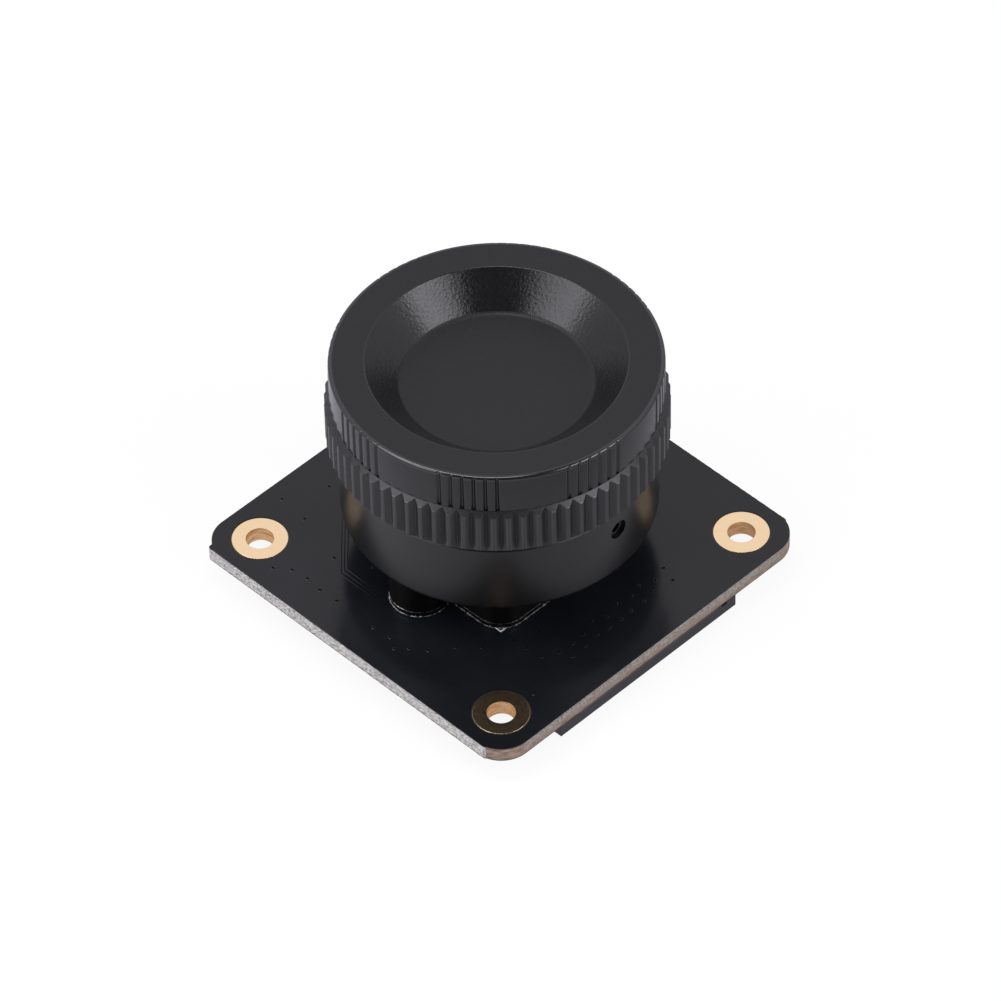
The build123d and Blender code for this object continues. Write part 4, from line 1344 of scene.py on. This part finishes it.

# %% [markdown]
# The vias near the front left edge and along the cable edge are where the photograph has them.
# A via is a ring of mask with a pit in it, about as wide as a fine needle. The pit could be
# a real hole through the board, but nothing would be seen in it, so it is a shallow floor with
# painted shade: black, and mirroring nothing.

# %% Vias
VIA_PLACES = [
    (-6.3, 15.2), (-10.3, 17.1), (-10.6, 13.9), (-12.1, 8.6), (-16.7, 11.6), (-15.7, 10.2),
    (-15.5, 8.5), (-15.7, 6.7), (-15.6, 4.7), (-10.5, 5.3), (-15.6, 0.1), (-15.4, -1.8),
    (-16.1, -3.0), (-15.2, -3.9), (7.1, -13.1), (6.6, -14.7), (5.5, -13.6), (4.5, -14.6),
    (4.0, -13.0), (3.0, -14.7), (2.7, -13.4), (1.1, -13.1), (1.4, -14.6), (0.1, -14.7),
    (-0.6, -13.6), (-1.4, -14.7), (-1.9, -13.0), (-2.7, -14.5), (-3.5, -13.6), (-4.9, -13.7),
    (-4.3, -14.7), (-6.5, -13.6), (-6.0, -14.8), (-7.9, -12.9), (-8.1, -11.2), (-8.1, -9.8),
    (-5.9, -10.6), (-10.7, -8.3), (-12.3, -6.7), (-14.2, -5.3), (-10.4, -5.8), (-11.5, -15.5),
]
# On the sides that the photograph hides, vias stand as such boards have them.
HIDDEN_VIAS = [
    (12.4, 13.1), (9.6, 14.8), (6.1, 13.7), (2.2, 15.6), (-2.4, 14.1), (15.6, 9.2), (16.4, 5.1),
    (15.2, 1.3), (16.1, -3.6), (9.1, 11.6), (13.6, 5.4),
]
# Of the vias on top, those that come out underneath beside the tracks and parts.
OUTER_VIAS = [
    (-6.3, 15.2), (-10.3, 17.1), (-16.7, 11.6), (-15.5, 8.5), (-15.6, 4.7), (-15.6, 0.1),
    (-16.1, -3.0), (9.6, 14.8), (2.2, 15.6), (16.4, 5.1), (15.2, 1.3), (16.1, -3.6),
]
CRATER_PROFILE = ((0.20, 0.001), (0.165, 0.020), (0.145, 0.022), (0.11, 0.003))
CRATER_SIDES = 14


def via_crater(bm, x, y, base, up):
    """A low ring of mask round a shallow pit."""
    rings = [
        circle(bm, x, y, radius, base + up * rise, CRATER_SIDES)
        for radius, rise in CRATER_PROFILE
    ]
    for first, second in zip(rings, rings[1:]):
        join_rings(bm, first, second)
    bm.faces.new(rings[-1]).material_index = 1
    bm.faces.new(rings[0][::-1])


# The pit's floor is painted shade: the dark of the drilled hole, with no gloss.
via_pit_shade = grained_finish(
    "via_pit_painted_shade", "#0f1013", "#0c0d10", 0.8, 0.1, 0.004, **{"Specular IOR Level": 0.0},
)
top_vias = VIA_PLACES + HIDDEN_VIAS
for name, places, base, up in (("vias_top", top_vias, BOARD_TOP, 1),
                               ("vias_bottom", bottom_vias + OUTER_VIAS, 0.0, -1)):
    bm = bmesh.new()
    for x, y in places:
        via_crater(bm, x, y, base, up)
    vias = to_piece(bm, name, [solder_mask, via_pit_shade])
print("Vias:", len(top_vias), "on top,", len(bottom_vias) + len(OUTER_VIAS), "underneath")

# %% [markdown]
# ## The cable connector
# The housing is liquid crystal polymer and the slider a tougher nylon: two near blacks, moulded,
# with crisp edges. Real moulded edges are rounded by about 0.05 mm. Both keep their CAD form and
# get those edges, because a new mesh would add nothing to it. The contacts and the hold-downs are
# tin over bronze.

# %% Connector
housing_plastic = grained_finish(
    "liquid_crystal_polymer_black", "#1d1d20", "#161618", 0.42, 0.16, 0.008, ior=1.6,
)
slider_plastic = grained_finish(
    "nylon_moulded_black", "#232128", "#1c1b21", 0.42, 0.18, 0.006, ior=1.50,
)
tin = grained_finish(
    "tin_plated_bronze", "#d6d4cf", "#bdbbb6", 0.27, 0.15, 0.006, metallic=1.0, patch_mm=0.4,
)
connector = softened("connector_housing", housing_plastic, 0.04)
slider = softened("connector_slider", slider_plastic, 0.05, "slider")
for node, edge in (("connector_contacts", 0.03), ("connector_hold_downs", 0.03),
                   ("regulator_leads", 0.025), ("chip_terminals", 0.05)):
    softened(node, tin, edge)
print("Connector:", connector.name, slider.name)

# %% [markdown]
# Every terminal stands in a little solder that climbs its sides while it melts and freezes there
# as a hollow curve. The CAD has the terminals without it. Their places could be written down once
# more, but it is safer to find each one by its box, and a skirt of solder goes round the lower
# part of it.

# %% Solder
solder = grained_finish(
    "reflowed_tin_solder", "#c9c9c8", "#b2b2b0", 0.30, 0.20, 0.010, metallic=1.0, patch_mm=0.5,
)


def terminal_boxes(node):
    """The box, in mm, round each separate body of a CAD node: its two opposite corners."""
    found = bmesh.new()
    found.from_mesh(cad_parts[node].data)
    bmesh.ops.remove_doubles(found, verts=found.verts, dist=0.0001 * MM)
    boxes, seen = [], set()
    for first in found.verts:
        if first in seen:
            continue
        seen.add(first)
        waiting, points = [first], []
        while waiting:
            vertex = waiting.pop()
            points.append(vertex.co / MM)
            for edge in vertex.link_edges:
                other = edge.other_vert(vertex)
                if other not in seen:
                    seen.add(other)
                    waiting.append(other)
        boxes.append([
            Vector([pick(point[axis] for point in points) for axis in range(3)])
            for pick in (min, max)
        ])
    found.free()
    return boxes


print("Terminals of the small parts:", len(terminal_boxes("chip_terminals")))


# %% Solder joints
def solder_skirt(bm, low, high, height, spread=0.16):
    """Solder round the foot of a terminal: wide on the pad, and steeper as it climbs."""
    rings = []
    for out, depth in ((spread, -0.003), (spread * 0.34, 0.25 * height), (0.004, 0.65 * height)):
        left, right, front, back = low.x - out, high.x + out, low.y - out, high.y + out
        cut = 0.35 * out
        rings.append([
            bm.verts.new((x * MM, y * MM, -depth * MM)) for x, y in (
                (left + cut, front), (right - cut, front), (right, front + cut),
                (right, back - cut), (right - cut, back), (left + cut, back),
                (left, back - cut), (left, front + cut),
            )
        ])
    for first, second in zip(rings, rings[1:]):
        join_rings(bm, first, second)
    bm.faces.new(rings[0])
    bm.faces.new(rings[-1][::-1])


# Only the flat end of a lead or a contact is soldered, and its box is cut down to that end.
LEAD_END, CONTACT_END = 0.35, 0.5
bm = bmesh.new()
for low, high in terminal_boxes("chip_terminals"):
    solder_skirt(bm, low, high, high.z - low.z)
for low, high in terminal_boxes("regulator_leads"):
    if low.y < REGULATOR_Y:
        high.y = low.y + LEAD_END
    else:
        low.y = high.y - LEAD_END
    solder_skirt(bm, low, high, 0.16)
for low, high in terminal_boxes("connector_contacts"):
    low.y = high.y - CONTACT_END
    solder_skirt(bm, low, high, 0.2, 0.12)
for low, high in terminal_boxes("connector_hold_downs"):
    solder_skirt(bm, low, high, 0.5, 0.22)
joints = to_piece(bm, "solder_joints_bottom", [solder])
print("Solder:", len(joints.data.polygons), "faces")

# %% [markdown]
# ## Small parts under the board
# Chip capacitors are fired ceramic, a matt brown. Chip resistors have a glazed black face.
# Regulators are moulded in black epoxy filled with quartz. The oscillator is a dark ceramic tub
# under a seam-welded metal lid. Each is told from its neighbour by colour and gloss, and their
# plain boxes need no more than a soft edge.

# %% Small parts
capacitor_ceramic = grained_finish(
    "barium_titanate_ceramic", "#9b7d5e", "#856a4e", 0.50, 0.15, 0.008, ior=1.8,
)
resistor_glaze = grained_finish(
    "resistor_glaze_black", "#1a1b1f", "#121316", 0.25, 0.12, 0.004, ior=1.5,
)
epoxy = grained_finish(
    "epoxy_moulding_black", "#1f1f20", "#171718", 0.50, 0.10, 0.012, ior=1.55,
)
lid_metal = grained_finish(
    "nickel_iron_lid", "#cfc6b2", "#bdb39f", 0.32, 0.12, 0.004, metallic=1.0, patch_mm=0.8,
)
for node, finish, edge, slot in (
    ("capacitors", capacitor_ceramic, 0.04, "capacitor_body"),
    ("resistors", resistor_glaze, 0.03, "resistor_body"),
    ("voltage_regulator_1", epoxy, 0.05, "epoxy_moulding"),
    ("voltage_regulator_2", epoxy, 0.05, "epoxy_moulding"),
    ("voltage_regulator_3", epoxy, 0.05, "epoxy_moulding"),
    ("clock_oscillator", lid_metal, 0.05, "oscillator_can"),
):
    softened(node, finish, edge)
    print("Small part:", node)

# %% [markdown]
# ## Screws, gasket and optics
# The screws are steel with black zinc, a metal that mirrors darkly. Inside the holder, the filter
# and the sensor's lid are thin glass, and under them the shimmer of the chip's fine grid of
# lenses is painted on as colour bands. Nobody sees these before the cap comes off.

# %% Screws and soft parts
black_zinc = grained_finish(
    "black_zinc_steel", "#4c4c50", "#3b3b3f", 0.33, 0.12, 0.006, metallic=1.0, patch_mm=0.6,
)
for node in ("holder_screw_left", "holder_screw_right", "lock_screw"):
    softened(node, black_zinc, 0.05)
foam = grained_finish("closed_cell_foam", "#2b2b2c", "#1b1b1c", 0.85, 0.12, 0.03)
refinish("dust_gasket", foam)
ceramic_tub = grained_finish("sensor_laminate_frame", "#2e2b2a", "#242120", 0.55, 0.14, 0.008)
refinish("sensor_package", ceramic_tub)
print("Fasteners and frames:", black_zinc.name, foam.name, ceramic_tub.name)


# %% Glass and chip
def coated_glass(name, colour, film_nm):
    """Thin polished glass with a coating that colours its reflection."""
    material, tree, shader, place = new_finish(name, IOR=1.52, **{
        "Base Color": swatch(colour), "Transmission Weight": 1.0, "Thin Film Thickness": film_nm,
    })
    haze = add_node(tree, "ShaderNodeTexNoise", inputs={
        "Vector": place, "Scale": cells_per_metre(1.5), "Detail": 3.0,
    }).outputs["Fac"]
    polish = add_node(tree, "ShaderNodeMapRange", inputs={
        "Value": haze, "To Min": 0.01, "To Max": 0.05,
    })
    feed(shader, Roughness=polish.outputs["Result"])
    return material


refinish("ir_filter", coated_glass("infrared_filter_glass", "#cfe9ea", 340.0))
refinish("sensor_cover_glass", coated_glass("clear_lid_glass", "#f2f7f6", 120.0))

# The purple and green diagonal bands are a painted reflection: the lens grid's shimmer, set in the
# base colour.
chip, tree, shader, place = new_finish("silicon_with_lens_grid", Metallic=0.8, Roughness=0.22)
painted_shimmer = add_node(tree, "ShaderNodeTexWave", {"wave_type": "BANDS", "bands_direction": "DIAGONAL"}, {
    "Vector": place, "Scale": cells_per_metre(9.0), "Distortion": 1.5, "Detail": 1.0,
}).outputs["Fac"]
feed(shader, Base_Color=two_colours(tree, painted_shimmer, swatch("#3d2a5e"), swatch("#2c5a4c")))
refinish("sensor_die", chip)
print("Inside finishes:", foam.name, chip.name)
